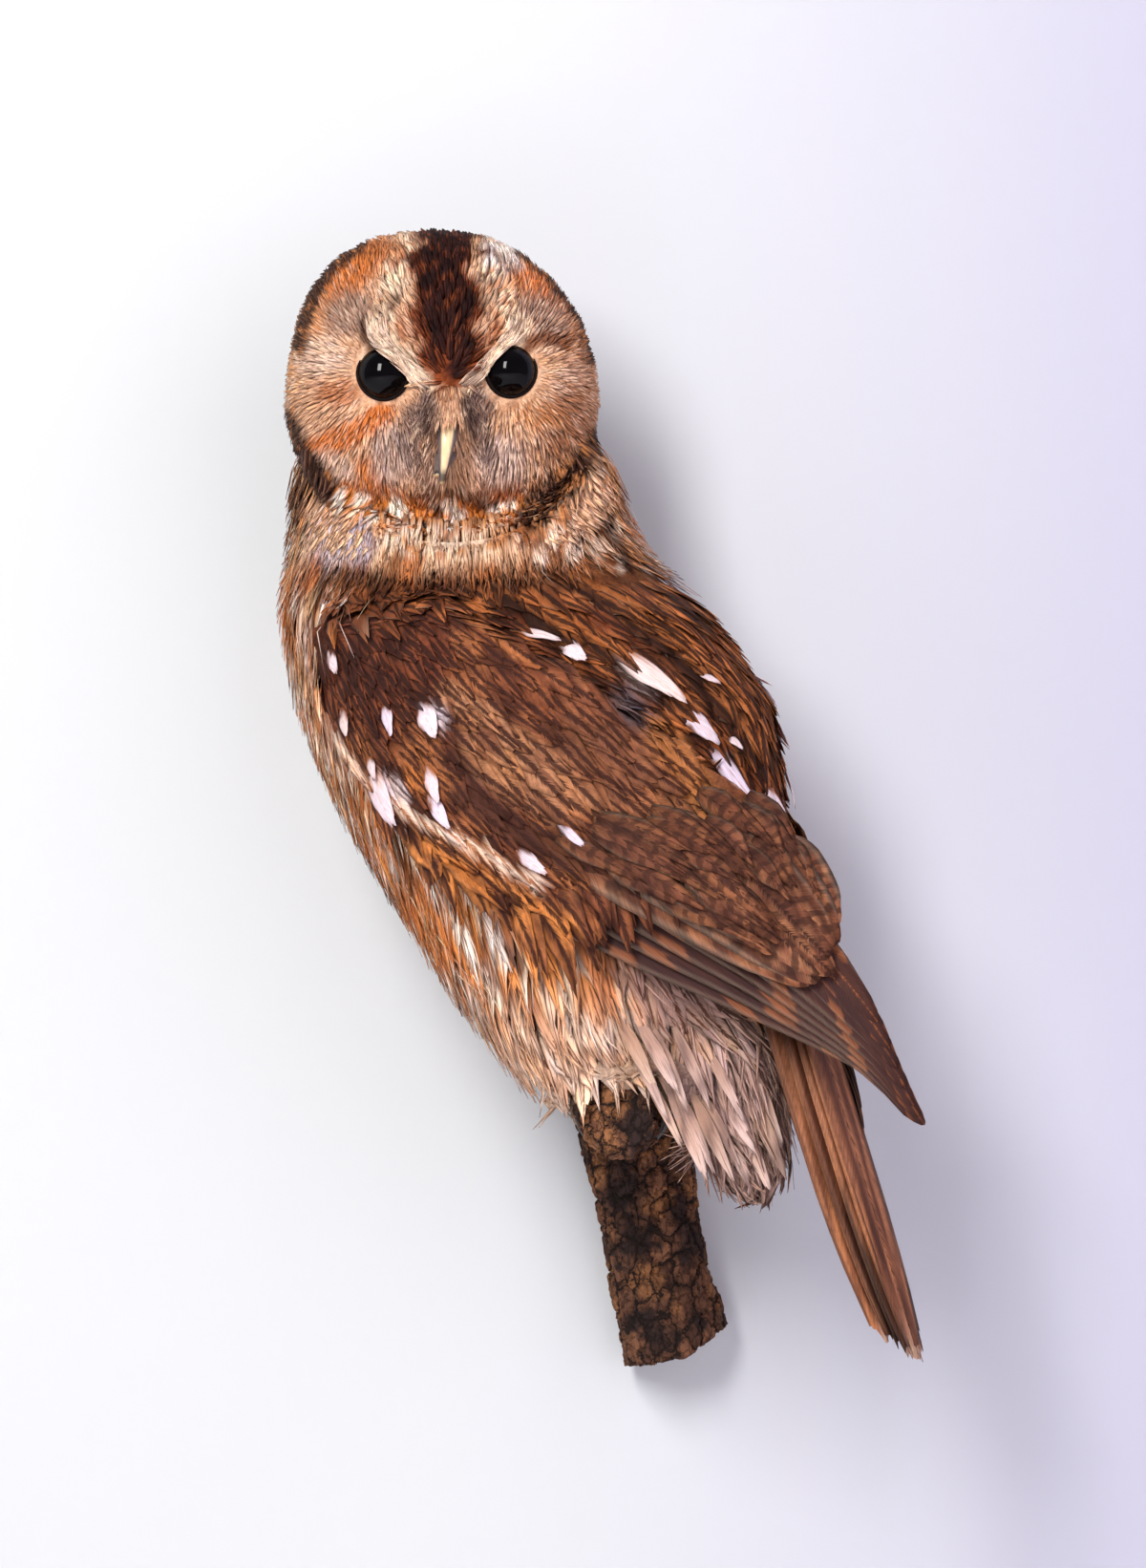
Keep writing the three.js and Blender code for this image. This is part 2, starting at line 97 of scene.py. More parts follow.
# The camera stands level, square to the wall. A view unit is what a 0.32 mm step
# at the bird's middle covers, counted from the top left of a 1200 by 1642 view.
CAMERA_AT = (-25.6, -2092.0, 150.0)
VIEW_SIZE = (1200, 1642)
VIEW_SCALE = 2000 / 0.32
SENSOR = 36.0
LENS = 137.03

FLESH = ("head", "neck", "trunk", "vent", "leg_left", "leg_right",
         "wing_left_coverts", "wing_right_coverts")
HEAD, NECK, TRUNK, VENT, LEG_LEFT, LEG_RIGHT, WING_LEFT, WING_RIGHT = range(8)
LEGS = (LEG_LEFT, LEG_RIGHT)
WINGS = (WING_LEFT, WING_RIGHT)
FAR = 1e9
NEVER = 99.0  # a gap so wide that nothing is planted


# ---- small maths

def turned(degrees, axis):
    return np.array(Matrix.Rotation(math.radians(degrees), 3, axis))


BIRD_TURN = turned(BODY_YAW, "Z")
HEAD_TURN = BIRD_TURN @ turned(HEAD_YAW, "Z") @ turned(HEAD_ROLL, "X")
HEAD_WORLD = BIRD_AT + BIRD_TURN @ HEAD_AT
HEAD_MAP = (HEAD_WORLD, 1.0)  # where a piece is unwrapped from, and how it is stretched
BODY_MAP = (np.array((-40.0, -95.0, 160.0)), 1.6)


def from_bird(points):
    return np.asarray(points, float) @ BIRD_TURN.T + BIRD_AT


def to_bird(points):
    return (points - BIRD_AT) @ BIRD_TURN


def from_head(points):
    return np.asarray(points, float) @ HEAD_TURN.T + HEAD_WORLD


def to_head(points):
    return (points - HEAD_WORLD) @ HEAD_TURN


def unit(vectors):
    return vectors / np.maximum(np.linalg.norm(vectors, axis=-1, keepdims=True), 1e-9)


def step(values, low, high):
    """Smooth rise from 0 at low to 1 at high; low may be the larger."""
    t = np.clip((values - low) / (high - low), 0, 1)
    return t * t * (3 - 2 * t)


def mix(a, b, t):
    return a + (b - a) * t


def noise(points, size, seed=0):
    """Smooth noise between about -1 and 1 that changes over the given size."""
    place = points / size + seed * 17.31
    base = np.floor(place)
    part = place - base
    part = part * part * (3 - 2 * part)
    total = np.zeros(len(points))
    for corner in itertools.product((0, 1), repeat=3):
        cell = (base + corner) @ (127.1, 311.7, 74.7)
        value = np.modf(np.sin(cell) * 43758.5453)[0]
        total += value * np.prod(np.where(corner, part, 1 - part), axis=-1)
    return total


def flecks(points, size, seed, low, high):
    """Soft-edged patches of noise: 0 below low, 1 above high."""
    return step(noise(points, size, seed), low, high)


def tint(red, green, blue):
    """A colour given in ordinary 0 to 255 values, made linear."""
    c = np.array((red, green, blue)) / 255
    return np.where(c <= 0.04045, c / 12.92, ((c + 0.055) / 1.055) ** 2.4)


def stained(ground, colour, weight):
    return mix(ground, tint(*colour), weight[:, None])


def painted(colour, points):
    return np.tile(tint(*colour), (len(points), 1))


def to_view(points):
    """Where points stand in the view, in view units across and down."""
    k = VIEW_SCALE / (points[:, 1] - CAMERA_AT[1])
    return np.stack((VIEW_SIZE[0] / 2 + (points[:, 0] - CAMERA_AT[0]) * k,
                     VIEW_SIZE[1] / 2 - (points[:, 2] - CAMERA_AT[2]) * k), -1)


# ---- mesh helpers

def merged(names, grow=0.0):
    """The CAD nodes as one welded mesh: corner places in millimetres, and triangles."""
    places, faces, count = [], [], 0
    for name in names:
        bm = bmesh.new()
        bm.from_mesh(frame["nodes"][name].data)
        bmesh.ops.remove_doubles(bm, verts=bm.verts, dist=1e-5)
        bm.normal_update()
        for v in bm.verts:
            places.append((v.co / MM + v.normal * grow)[:])
        faces += [[v.index + count for v in f.verts] for f in bm.faces]
        count += len(bm.verts)
        bm.free()
    return np.array(places), faces


def new_object(name, mesh, material=None, smooth=True):
    piece = bpy.data.objects.new(name, mesh)
    bpy.context.scene.collection.objects.link(piece)
    if smooth:
        mesh.shade_smooth()
    if material:
        mesh.materials.append(material)
    return piece


def finish_piece(piece, slot, *replaced):
    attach(piece, BODY)
    if replaced:
        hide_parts(*replaced)


def baked(piece):
    """The piece's modifiers are applied, and it becomes a plain mesh."""
    graph = bpy.context.evaluated_depsgraph_get()
    mesh = bpy.data.meshes.new_from_object(piece.evaluated_get(graph))
    piece.modifiers.clear()
    old, piece.data = piece.data, mesh
    bpy.data.meshes.remove(old)
    return mesh


def mesh_from(name, places, polygons):
    mesh = bpy.data.meshes.new(name)
    mesh.from_pydata((np.asarray(places) * MM).tolist(), [], [list(map(int, f)) for f in polygons])
    mesh.update()
    return mesh


def facing_out(mesh):
    bm = bmesh.new()
    bm.from_mesh(mesh)
    bmesh.ops.recalc_face_normals(bm, faces=bm.faces)
    bm.to_mesh(mesh)
    bm.free()


def read(items, key, width, kind=float):
    """One property of all the items of a mesh, as an array with the given width."""
    values = np.empty(len(items) * width, kind)
    items.foreach_get(key, values)
    return values.reshape(-1, width)


def move_to(mesh, places):
    mesh.vertices.foreach_set("co", (places * MM).astype(np.float32).ravel())


def quick_mesh(name, places, quads, triangles):
    """A mesh from arrays, for the many thousands of faces of a coat."""
    mesh = bpy.data.meshes.new(name)
    corners = np.concatenate((quads.ravel(), triangles.ravel()))
    starts = np.concatenate((np.arange(len(quads)) * 4,
                             len(quads) * 4 + np.arange(len(triangles)) * 3))
    mesh.vertices.add(len(places))
    mesh.loops.add(len(corners))
    mesh.polygons.add(len(starts))
    move_to(mesh, places)
    mesh.loops.foreach_set("vertex_index", corners.astype(np.int32))
    mesh.polygons.foreach_set("loop_start", starts.astype(np.int32))
    mesh.update(calc_edges=True)
    mesh.validate()
    return mesh, corners


def set_colours(mesh, name, values):
    attribute = mesh.attributes.new(name, "FLOAT_COLOR", "POINT")
    full = np.ones((len(mesh.vertices), 4), np.float32)
    full[:, :3] = values
    attribute.data.foreach_set("color", full.ravel())


def set_uv(mesh, name, corners, values):
    layer = mesh.uv_layers.new(name=name)
    layer.data.foreach_set("uv", values[corners].astype(np.float32).ravel())


def tube(rings, looped=False):
    """Faces round a row of rings of equal count, joined in a loop or with a fan at each end."""
    rows, count = len(rings), len(rings[0])
    places = [p for ring in rings for p in ring]
    faces = []
    for r in range(rows if looped else rows - 1):
        here, there = r * count, (r + 1) % rows * count
        for c in range(count):
            d = (c + 1) % count
            faces.append((here + c, here + d, there + d, there + c))
    if not looped:
        for r, order in ((0, -1), (rows - 1, 1)):
            centre = len(places)
            places.append(np.mean(rings[r], axis=0))
            ring = [r * count + c for c in range(count)][::order]
            faces += [(ring[c], ring[(c + 1) % count], centre) for c in range(count)]
    return places, faces


def curve(p0, p1, p2, p3, f):
    """A smooth step from p1 to p2 at f from 0 to 1, with their neighbours on either side."""
    return 0.5 * (2 * p1 + (p2 - p0) * f + (2 * p0 - 5 * p1 + 4 * p2 - p3) * f ** 2
                  + (3 * p1 - p0 - 3 * p2 + p3) * f ** 3)


def spine_at(points, t):
    """A smooth curve through a few points, at t from 0 to 1."""
    points = np.asarray(points, float)
    last = len(points) - 1
    i = min(int(t * last), last - 1)
    around = (points[min(max(i + k, 0), last)] for k in (-1, 0, 1, 2))
    return curve(*around, t * last - i)


# ---- markings

CREAM = (236, 208, 186)
COAT_LIE = (-0.45, 0.0, -0.89)
BACK_LIE = (-0.76, 0.0, -0.63)
WING_LIE = (-0.76, 0.0, -0.66)


class Brush:
    """Colours laid in soft-edged marks over many points of the bird at once.

    The left side is painted as the front view shows it. A point on the right
    side takes the marks of its mirror place on the left. Marks fall only where
    the mask allows them."""

    def __init__(self, points, region):
        self.points = points
        self.region = region
        self.head = to_head(points)
        self.bird = to_bird(points)
        mirror = self.bird.copy()
        mirror[:, 1] = np.where(region == HEAD, mirror[:, 1], np.abs(mirror[:, 1]))
        place = from_bird(mirror)
        self.view = to_view(place)
        self.facing = step(place[:, 1], -88, -106)
        self.rough = noise(points, 5.0, 1) * 3.2 + noise(points, 1.7, 2) * 1.8
        self.ground, self.mark, self.style = np.zeros((3, len(points), 3))
        self.mask = np.ones(len(points))

    def blob(self, x, y, wide, high=None, turn=0, soft=0.4):
        high = high or wide
        a = math.radians(turn)
        dx, dy = self.view[:, 0] - x, self.view[:, 1] - y
        u = (dx * math.cos(a) + dy * math.sin(a)) / wide
        v = (-dx * math.sin(a) + dy * math.cos(a)) / high
        d = np.hypot(u, v) + self.rough / min(wide, high) * 0.9
        return step(d, 1 + soft, 1 - soft)

    def line(self, path, width, soft=0.4):
        """A band along a path of places; width may change from end to end."""
        path = np.array(path, float)
        widths = np.linspace(*width, len(path)) if isinstance(width, tuple) else np.full(len(path), width)
        best = np.full(len(self.view), FAR)
        for a, b, wa, wb in zip(path[:-1], path[1:], widths[:-1], widths[1:]):
            ab = b - a
            t = np.clip(((self.view - a) @ ab) / (ab @ ab), 0, 1)
            d = np.linalg.norm(self.view - (a + t[:, None] * ab), axis=1)
            best = np.minimum(best, (d + self.rough) / mix(wa, wb, t))
        return step(best, 1 + soft, 1 - soft)

    def wander(self, far, size, seed):
        """A copy of the view with its places shifted to and fro, for wavy edges."""
        other = copy.copy(self)
        shift = np.stack((noise(self.points, size, seed), noise(self.points, size, seed + 1)), -1)
        other.view = self.view + shift * far
        return other

    def lay(self, colour, weight=1.0, strength=1.0):
        w = np.clip(self.mask * weight, 0, 1) * strength
        self.ground = stained(self.ground, colour, w)

    def lay_rows(self, *rows):
        """Each row has a colour, a strength, and the numbers of a blob or of a line."""
        for colour, strength, *shape in rows:
            weight = self.line(*shape) if isinstance(shape[0], tuple) else self.blob(*shape)
            self.lay(colour, weight, strength)

    def set_marks(self, colour, streak, bars=0.0, edge=0.0, weight=1.0):
        w = np.clip(self.mask * weight, 0, 1)
        self.mark = stained(self.mark, colour, w)
        self.style = mix(self.style, np.array((streak, bars, edge)), w[:, None])

    def flecks(self, size, seed, low, high):
        return flecks(self.points, size, seed, low, high)

    def streaks(self, stretch, size, seed, low, high, lie=COAT_LIE):
        return flecks(combed(self.bird, stretch, lie), size, seed, low, high)


def combed(bird, stretch, lie):
    """Places squeezed along the lie of the coat, so that noise there makes long streaks."""
    lie = unit(np.array(lie))
    return bird - (bird @ lie)[:, None] * lie * (1 - 1 / stretch)


def paint(points, region, along=None, across=None):
    """Ground colour, mark colour and mark style of plumage at the given points."""
    b = Brush(points, region)
    # underside: rows of white drops between dark streaks, on orange-buff
    b.lay((230, 144, 76))
    b.lay((186, 100, 44), b.streaks(3.0, 8.0, 7, 0.05, 0.3), 0.8)
    b.lay((248, 212, 174), b.streaks(2.4, 6.0, 6, -0.08, 0.06), 0.95)
    b.lay((252, 232, 218), b.streaks(2.4, 6.0, 6, 0.1, 0.24), 0.9)
    b.lay((78, 40, 24), b.streaks(5.0, 4.6, 5, 0.24, 0.36), 0.9)
    b.set_marks((96, 54, 34), 0.1, 0.1, 0.3)
    # back, from the shoulder line up
    b.mask = dorsal_share(b.bird) * (b.bird[:, 2] < 240)
    b.lay((100, 51, 29))
    b.lay((152, 84, 44), b.streaks(4.5, 4.0, 41, 0.1, 0.3, BACK_LIE), 0.8)
    b.lay((88, 46, 28), b.flecks(14.0, 3, 0.0, 0.4), 0.6)
    b.lay((42, 22, 16), b.streaks(4.5, 5.0, 42, 0.2, 0.32, BACK_LIE), 0.85)
    b.set_marks((40, 22, 15), 0.2, 0.2, 0.25)
    for part in (paint_neck, paint_wing, paint_vent, paint_head):
        part(b)
    return b.ground, b.mark, b.style


def paint_neck(b):
    def down(size, seed, low, high):
        return b.streaks(3.6, size, seed, low, high, (0, 0, -1))

    high = b.mask = step(b.bird[:, 2], 214, 232) * (b.region != HEAD)
    b.lay((226, 158, 102))
    b.lay((250, 216, 182), down(5.6, 12, -0.08, 0.12), 0.95)
    b.lay((118, 66, 38), down(4.4, 13, 0.22, 0.4), 0.85)
    b.set_marks((116, 70, 44), 0.1, 0.0, 0.4)
    # nape
    b.mask = high * step(b.head[:, 0], -2, -22)
    b.lay((128, 74, 44))
    b.lay((226, 182, 144), b.flecks(3.0, 4, 0.2, 0.5), 0.7)
    b.set_marks((40, 22, 16), 0.3, 0.3, 0.3)
    # the side that the front view shows
    b.mask = (b.region != HEAD) * b.facing
    shoulder = b.blob(600, 560, 70, 60, 20, 0.4)
    b.lay((176, 108, 64), shoulder, 0.6)
    b.lay((96, 52, 32), shoulder * down(3.6, 54, 0.0, 0.2), 0.8)
    b.lay((190, 112, 62), down(5.0, 55, 0.12, 0.35), 0.75)
    b.lay_rows(
        ((104, 60, 36), 0.75, 372, 606, 32, 12, 12, 0.3),
        ((90, 50, 30), 0.7, ((400, 618), (480, 622), (560, 614), (660, 606)), (6, 9), 0.3))
    b.lay((250, 226, 202), b.blob(450, 566, 60, 18, 4, 0.35) * down(3.0, 62, 0.2, -0.05), 0.8)
    b.lay_rows(
        ((226, 210, 214), 0.9, 340, 560, 46, 30, 12, 0.3),
        ((174, 162, 172), 0.8, 378, 568, 15, 28, 0, 0.3))
    for spot in ((610, 545, 9, 14, 30), (628, 572, 8, 15, 20), (600, 580, 9, 13, 30), (645, 560, 6, 12, 10),
                 (650, 590, 6, 10, 10), (582, 560, 8, 12, 30), (566, 585, 7, 10, 30)):
        b.lay(CREAM, b.blob(*spot, 0.2), 0.95)
    b.lay_rows(
        ((44, 24, 18), 0.8, ((612, 505), (636, 545), (660, 595)), 5, 0.3),
        ((188, 98, 42), 0.9, ((318, 596), (303, 640), (305, 720), (322, 800)), (18, 14), 0.3),
        ((40, 22, 15), 0.85, ((338, 606), (318, 650), (316, 710), (332, 790)), (7, 5), 0.3),
        ((244, 204, 160), 0.8, ((326, 620), (311, 665), (318, 730), (340, 810)), 4, 0.3))
    b.lay((210, 124, 58), b.blob(470, 960, 64, 44, 40, 0.4) * down(4.4, 61, -0.05, 0.15), 0.75)


def paint_wing(b):
    """Shoulder, scapulars and coverts; their crisp white spots are feathers of their own."""
    wing = b.mask = np.isin(b.region, WINGS).astype(float)
    on = np.isin(b.region, WINGS + (TRUNK,)).astype(float)
    veins = b.flecks(1.9, 43, 0.0, 0.2)
    b.lay((118, 66, 42))
    for colour, strength, weight in (
            ((80, 43, 30), 0.8, b.streaks(2.0, 9.0, 15, -0.1, 0.2, WING_LIE)),
            ((182, 112, 66), 0.6, b.streaks(2.4, 8.0, 60, 0.16, 0.36, WING_LIE)),
            ((160, 98, 60), 0.7, b.streaks(1.8, 3.6, 14, 0.12, 0.36, WING_LIE)),
            ((48, 25, 19), 0.8, b.streaks(1.8, 3.6, 14, -0.18, -0.4, WING_LIE))):
        b.lay(colour, weight, strength)
    b.set_marks((50, 26, 20), 0.16, 0.2, 0.06)
    lesser = b.blob(385, 690, 90, 78, 20, 0.25)
    b.lay((112, 58, 38), lesser, 0.8)
    b.lay((58, 30, 23), lesser * b.flecks(7.0, 16, 0.0, 0.3), 0.8)
    b.set_marks((42, 22, 18), 0.3, 0.2, 0.1, lesser)
    b.lay((58, 32, 24), b.line(((345, 680), (430, 722), (560, 800), (640, 860)), 7, 0.3), 0.5)
    pale = np.maximum(b.blob(548, 806, 70, 34, 33, 0.3), b.line(((470, 725), (560, 790), (650, 860)), 12))
    b.lay((184, 128, 90), pale, 0.75)
    b.lay((104, 58, 38), pale * veins, 0.8)
    far = b.blob(690, 830, 120, 62, 38)
    b.lay((138, 88, 60), far, 0.6)
    b.lay((88, 50, 36), far * b.flecks(1.9, 43, 0.05, 0.3), 0.75)
    b.lay((60, 34, 28), b.line(((480, 838), (590, 898), (700, 955)), 15, 0.3), 0.85)
    b.mask = on
    b.lay_rows(
        ((226, 206, 206), 0.8, 454, 751, 13, 11, 0, 0.3),
        ((226, 206, 206), 0.8, 412, 828, 20, 11, 42, 0.3))
    b.mask = (b.region == TRUNK) * b.facing
    b.lay((104, 56, 34), b.blob(384, 650, 56, 28, 10, 0.3), 0.9)
    b.mask = on
    edge = b.line(((343, 762), (375, 811), (431, 855), (497, 889), (560, 925)), (4, 6), 0.25)
    b.lay(CREAM, edge, 0.9)
    b.set_marks((176, 110, 66), 0.1, weight=edge)
    b.mask = wing
    b.lay((196, 116, 56), b.blob(436, 818, 10, 15, -15, 0.25), 0.85)
    lower = b.line(((440, 890), (500, 930), (590, 975)), (20, 16))
    b.lay((206, 128, 66), lower * b.streaks(1.8, 3.6, 14, -0.3, 0.0, WING_LIE), 0.9)
    b.mask = on
    b.lay_rows(
        ((84, 76, 82), 0.85, 662, 742, 16, 26, -35, 0.3),
        ((182, 114, 62), 0.7, ((690, 765), (728, 820), (765, 880)), 17, 0.3),
        ((150, 88, 50), 0.35, 760, 690, 60, 90, -30),
        ((226, 206, 206), 0.8, 666, 710, 26, 7, 43, 0.3),
        ((226, 206, 206), 0.8, 760, 804, 22, 6, 50, 0.3))
    for path in (((560, 640), (640, 690), (720, 745)), ((600, 615), (700, 665), (780, 760)),
                 ((640, 640), (720, 700), (790, 800)), ((690, 612), (770, 680), (815, 770)),
                 ((520, 620), (560, 650), (600, 676)), ((740, 640), (790, 700), (818, 790))):
        b.lay((178, 104, 54), b.line(np.array(path) + (9, -7), (5, 6)), 0.6)
        b.lay((32, 17, 12), b.line(path, (6, 8), 0.35), 0.85)


def paint_vent(b):
    b.mask = np.isin(b.region, (VENT,) + LEGS).astype(float)
    b.lay((184, 150, 136))
    b.lay((128, 100, 96), b.streaks(3.0, 5.0, 18, 0.0, 0.3), 0.8)
    b.set_marks((96, 62, 50), 0.12, 0.0, 0.5)
    b.mask = (b.region == TRUNK).astype(float)
    b.lay((226, 190, 162), step(b.bird[:, 2], 92, 58), 0.7)
    gap = b.line(((420, 860), (480, 905), (540, 935)), (15, 20), 0.3)
    b.lay((150, 104, 52), gap, 0.85)
    b.set_marks((90, 54, 30), 0.15, weight=gap)
    b.lay_rows(
        ((120, 74, 46), 0.7, ((560, 945), (640, 1000), (720, 1050)), (14, 20)),
        ((150, 122, 116), 0.75, 716, 1050, 60, 42, 30))


BROW_LEFT = ((401, 340), (408, 306), (418, 280), (432, 250))
BROW_RIGHT = ((536, 342), (522, 310), (512, 280), (508, 255))


def paint_head(b):
    """Two pale discs ringed in brown, a dark wedge on the crown and a cream V."""
    head = b.mask = (b.region == HEAD).astype(float)
    front = head * step(b.head[:, 0], -8, 4)
    b.lay((126, 72, 42))
    b.lay((40, 21, 15), b.flecks(6.0, 19, -0.15, 0.1), 0.85)
    b.lay((214, 166, 126), b.flecks(3.0, 4, 0.35, 0.6), 0.8)
    b.set_marks((36, 19, 14), 0.36, 0.1, 0.2)
    b.mask = front
    b.lay((226, 174, 136))
    b.set_marks((120, 84, 66), 0.12)
    # washes of orange, grey and beige over the discs
    b.lay_rows(
        ((216, 118, 44), 0.97, 362, 284, 50, 24, -38),
        ((206, 132, 76), 0.75, 330, 345, 16, 40, 15),
        ((214, 114, 46), 0.97, 572, 296, 42, 26, 42, 0.35),
        ((186, 116, 70), 0.75, 606, 366, 18, 50, -10),
        ((156, 124, 108), 0.9, 366, 328, 27, 24, -20),
        ((160, 128, 112), 0.85, 566, 330, 32, 22, 20),
        ((240, 204, 180), 0.9, 330, 372, 30, 22),
        ((224, 182, 154), 0.6, 596, 400, 20, 24),
        ((190, 116, 72), 0.85, 352, 412, 24, 15),
        ((214, 116, 46), 0.95, ((400, 434), (366, 456), (318, 476)), (12, 14), 0.35),
        ((218, 122, 48), 0.9, 384, 498, 18, 20, 10),
        ((168, 104, 66), 0.8, 594, 446, 30, 46, 12, 0.35),
        ((206, 134, 82), 0.75, 560, 434, 30, 13, 10),
        ((190, 106, 54), 0.8, ((600, 494), (560, 520)), 12, 0.35),
        ((240, 202, 178), 0.9, 350, 488, 28, 12, 32, 0.35),
        ((206, 176, 162), 0.85, 412, 478, 24, 30),
        ((222, 192, 178), 0.85, 524, 486, 28, 30),
        ((128, 104, 98), 0.7, 430, 448, 14, 30, 25),
        ((108, 86, 82), 0.85, 447, 432, 13, 30, 8, 0.35),
        ((96, 76, 74), 0.85, 500, 430, 16, 32, -10, 0.35),
        ((176, 120, 84), 0.8, 466, 414, 12, 12, 0, 0.3),
        ((140, 112, 106), 0.6, 450, 492, 20, 24, 10),
        ((196, 104, 44), 0.95, ((346, 512), (410, 524), (470, 530), (540, 522)), 12, 0.35),
        ((74, 36, 22), 0.8, ((432, 520), (470, 518), (505, 524)), 7, 0.35))
    # pale and dark hairs, darkest down both sides of the bill
    b.lay((248, 218, 190), b.flecks(1.1, 53, 0.1, 0.4), 0.36)
    b.lay((116, 70, 46), b.flecks(1.1, 53, -0.15, -0.42), 0.38)
    for colour, path in (((110, 88, 86), ((448, 412), (438, 440), (430, 482))),
                         ((104, 84, 82), ((492, 412), (500, 440), (510, 478)))):
        b.lay(colour, b.line(path, (8, 14)) * b.flecks(1.1, 53, 0.1, -0.1), 0.7)
    stripes = np.maximum(b.line(BROW_LEFT, (12, 16), 0.25), b.line(BROW_RIGHT, (12, 13), 0.25))
    b.lay_rows(
        # painted shade in the hollows above the eyes, under the brows
        ((52, 27, 19), 0.95, ((384, 338), (388, 352), (397, 366)), (7, 13), 0.45),
        ((104, 52, 26), 0.85, ((544, 362), (572, 352), (590, 358)), (8, 7), 0.35),
        # cream V from the bill over each brow to the crown
        ((250, 216, 182), 0.97, ((454, 402), (430, 382), (410, 360), (398, 338)), (8, 13), 0.25),
        ((250, 216, 182), 0.97, BROW_LEFT, (12, 16), 0.25),
        ((250, 216, 182), 0.97, ((488, 402), (514, 382), (534, 358), (544, 342)), (8, 12), 0.25),
        ((250, 216, 182), 0.95, BROW_RIGHT, (12, 13), 0.25))
    b.lay((176, 98, 50), stripes * b.flecks(2.2, 58, 0.12, 0.34), 0.75)
    b.lay((96, 52, 32), stripes * b.flecks(2.6, 59, 0.3, 0.5), 0.7)
    b.lay_rows(
        ((250, 232, 222), 0.9, 526, 267, 25, 15, 12, 0.3),
        ((116, 66, 44), 0.7, ((512, 262), (540, 282)), 3, 0.3),
        ((70, 36, 24), 0.8, 414, 316, 13, 6, -60, 0.3),
        ((170, 96, 52), 0.7, 420, 345, 7, 16, -10, 0.3),
        ((176, 100, 54), 0.8, 520, 345, 7, 20, 10, 0.3),
        ((58, 30, 22), 0.7, 506, 322, 5, 16, 8, 0.3),
        ((186, 108, 54), 0.8, ((414, 262), (386, 262)), 9, 0.3))
    # wedge of the crown: a tongue with rusty edges, rounded off above the bill
    w = b.wander(13, 5.0, 51)
    wedge, core = (np.maximum.reduce([w.line(*row) for row in rows]) for rows in (
        ((((474, 215), (466, 262), (465, 300)), (33, 34), 0.2), (((465, 300), (467, 340)), (35, 39), 0.2),
         (((467, 340), (472, 370)), (39, 35), 0.2), (((472, 370), (471, 388)), (34, 17), 0.2)),
        ((((476, 215), (464, 262), (464, 300)), (28, 26), 0.25), (((464, 300), (469, 350)), (27, 29), 0.25),
         (((469, 350), (471, 376)), (27, 17), 0.3))))
    b.lay((140, 68, 34), wedge)
    b.lay((48, 22, 20), core, 0.95)
    b.lay((140, 68, 34), wedge * b.flecks(2.6, 20, 0.18, 0.42), 0.8)
    b.lay((24, 11, 10), core * b.flecks(4.0, 22, 0.1, 0.4), 0.8)
    b.set_marks((22, 10, 9), 0.3, weight=wedge)
    b.lay_rows(((216, 164, 124), 0.8, ((497, 250), (500, 278)), 3, 0.3))
    # mottled sides of the head, behind the discs
    b.mask = head * step(b.head[:, 0], 7, -2) * step(b.head[:, 2], 44, 34)
    b.lay((126, 72, 42), b.flecks(5.0, 66, -0.25, 0.0), 0.85)
    b.lay((40, 21, 15), b.flecks(4.0, 67, 0.0, 0.2), 0.85)
    # dark, spotted rim of the discs, its lower right end widened with painted shade under the ruff, with
    # cream and orange outside it and a ruff below
    rim_and_ruff_shade = np.maximum.reduce([b.line(path, width, 0.25) for path, width in (
        (((378, 254), (340, 284), (320, 330), (314, 362)), (6, 9)),
        (((298, 440), (312, 476), (338, 510)), (12, 17)),
        (((545, 262), (582, 294), (610, 334), (622, 376)), (7, 6)),
        # the lower right end: the rim, widened with painted shade under the ruff
        (((630, 462), (608, 490), (584, 514), (560, 536)), (15, 18)))])
    outside = np.maximum(
        b.line(((372, 238), (322, 280), (300, 350), (294, 420), (296, 500)), (8, 14), 0.3),
        b.line(((560, 248), (612, 296), (640, 370), (640, 440), (640, 500)), 10, 0.3))
    b.mask = front
    b.lay((226, 160, 104), outside, 0.85)
    b.lay(CREAM, outside * b.flecks(4.0, 23, 0.0, 0.3), 0.8)
    b.mask = head * b.line(((352, 522), (400, 538), (470, 543), (530, 541), (560, 532)), (15, 16), 0.3)
    b.lay((216, 126, 48), 1.0, 0.95)
    b.lay((252, 232, 214), b.flecks(3.2, 8, 0.02, 0.2), 0.95)
    b.lay((60, 30, 20), b.flecks(3.4, 9, 0.16, 0.34), 0.85)
    b.mask = head * step(b.head[:, 0], -14, -6)
    b.lay((40, 20, 15), rim_and_ruff_shade, 0.97)
    b.mask = front
    b.lay((216, 140, 82), rim_and_ruff_shade * b.flecks(3.4, 24, 0.34, 0.5), 0.7)
    b.mask = head * step(b.view[:, 1], 556, 568)
    b.lay((240, 200, 164), b.flecks(3.0, 63, 0.25, 0.0), 0.8)


# ---- the skin

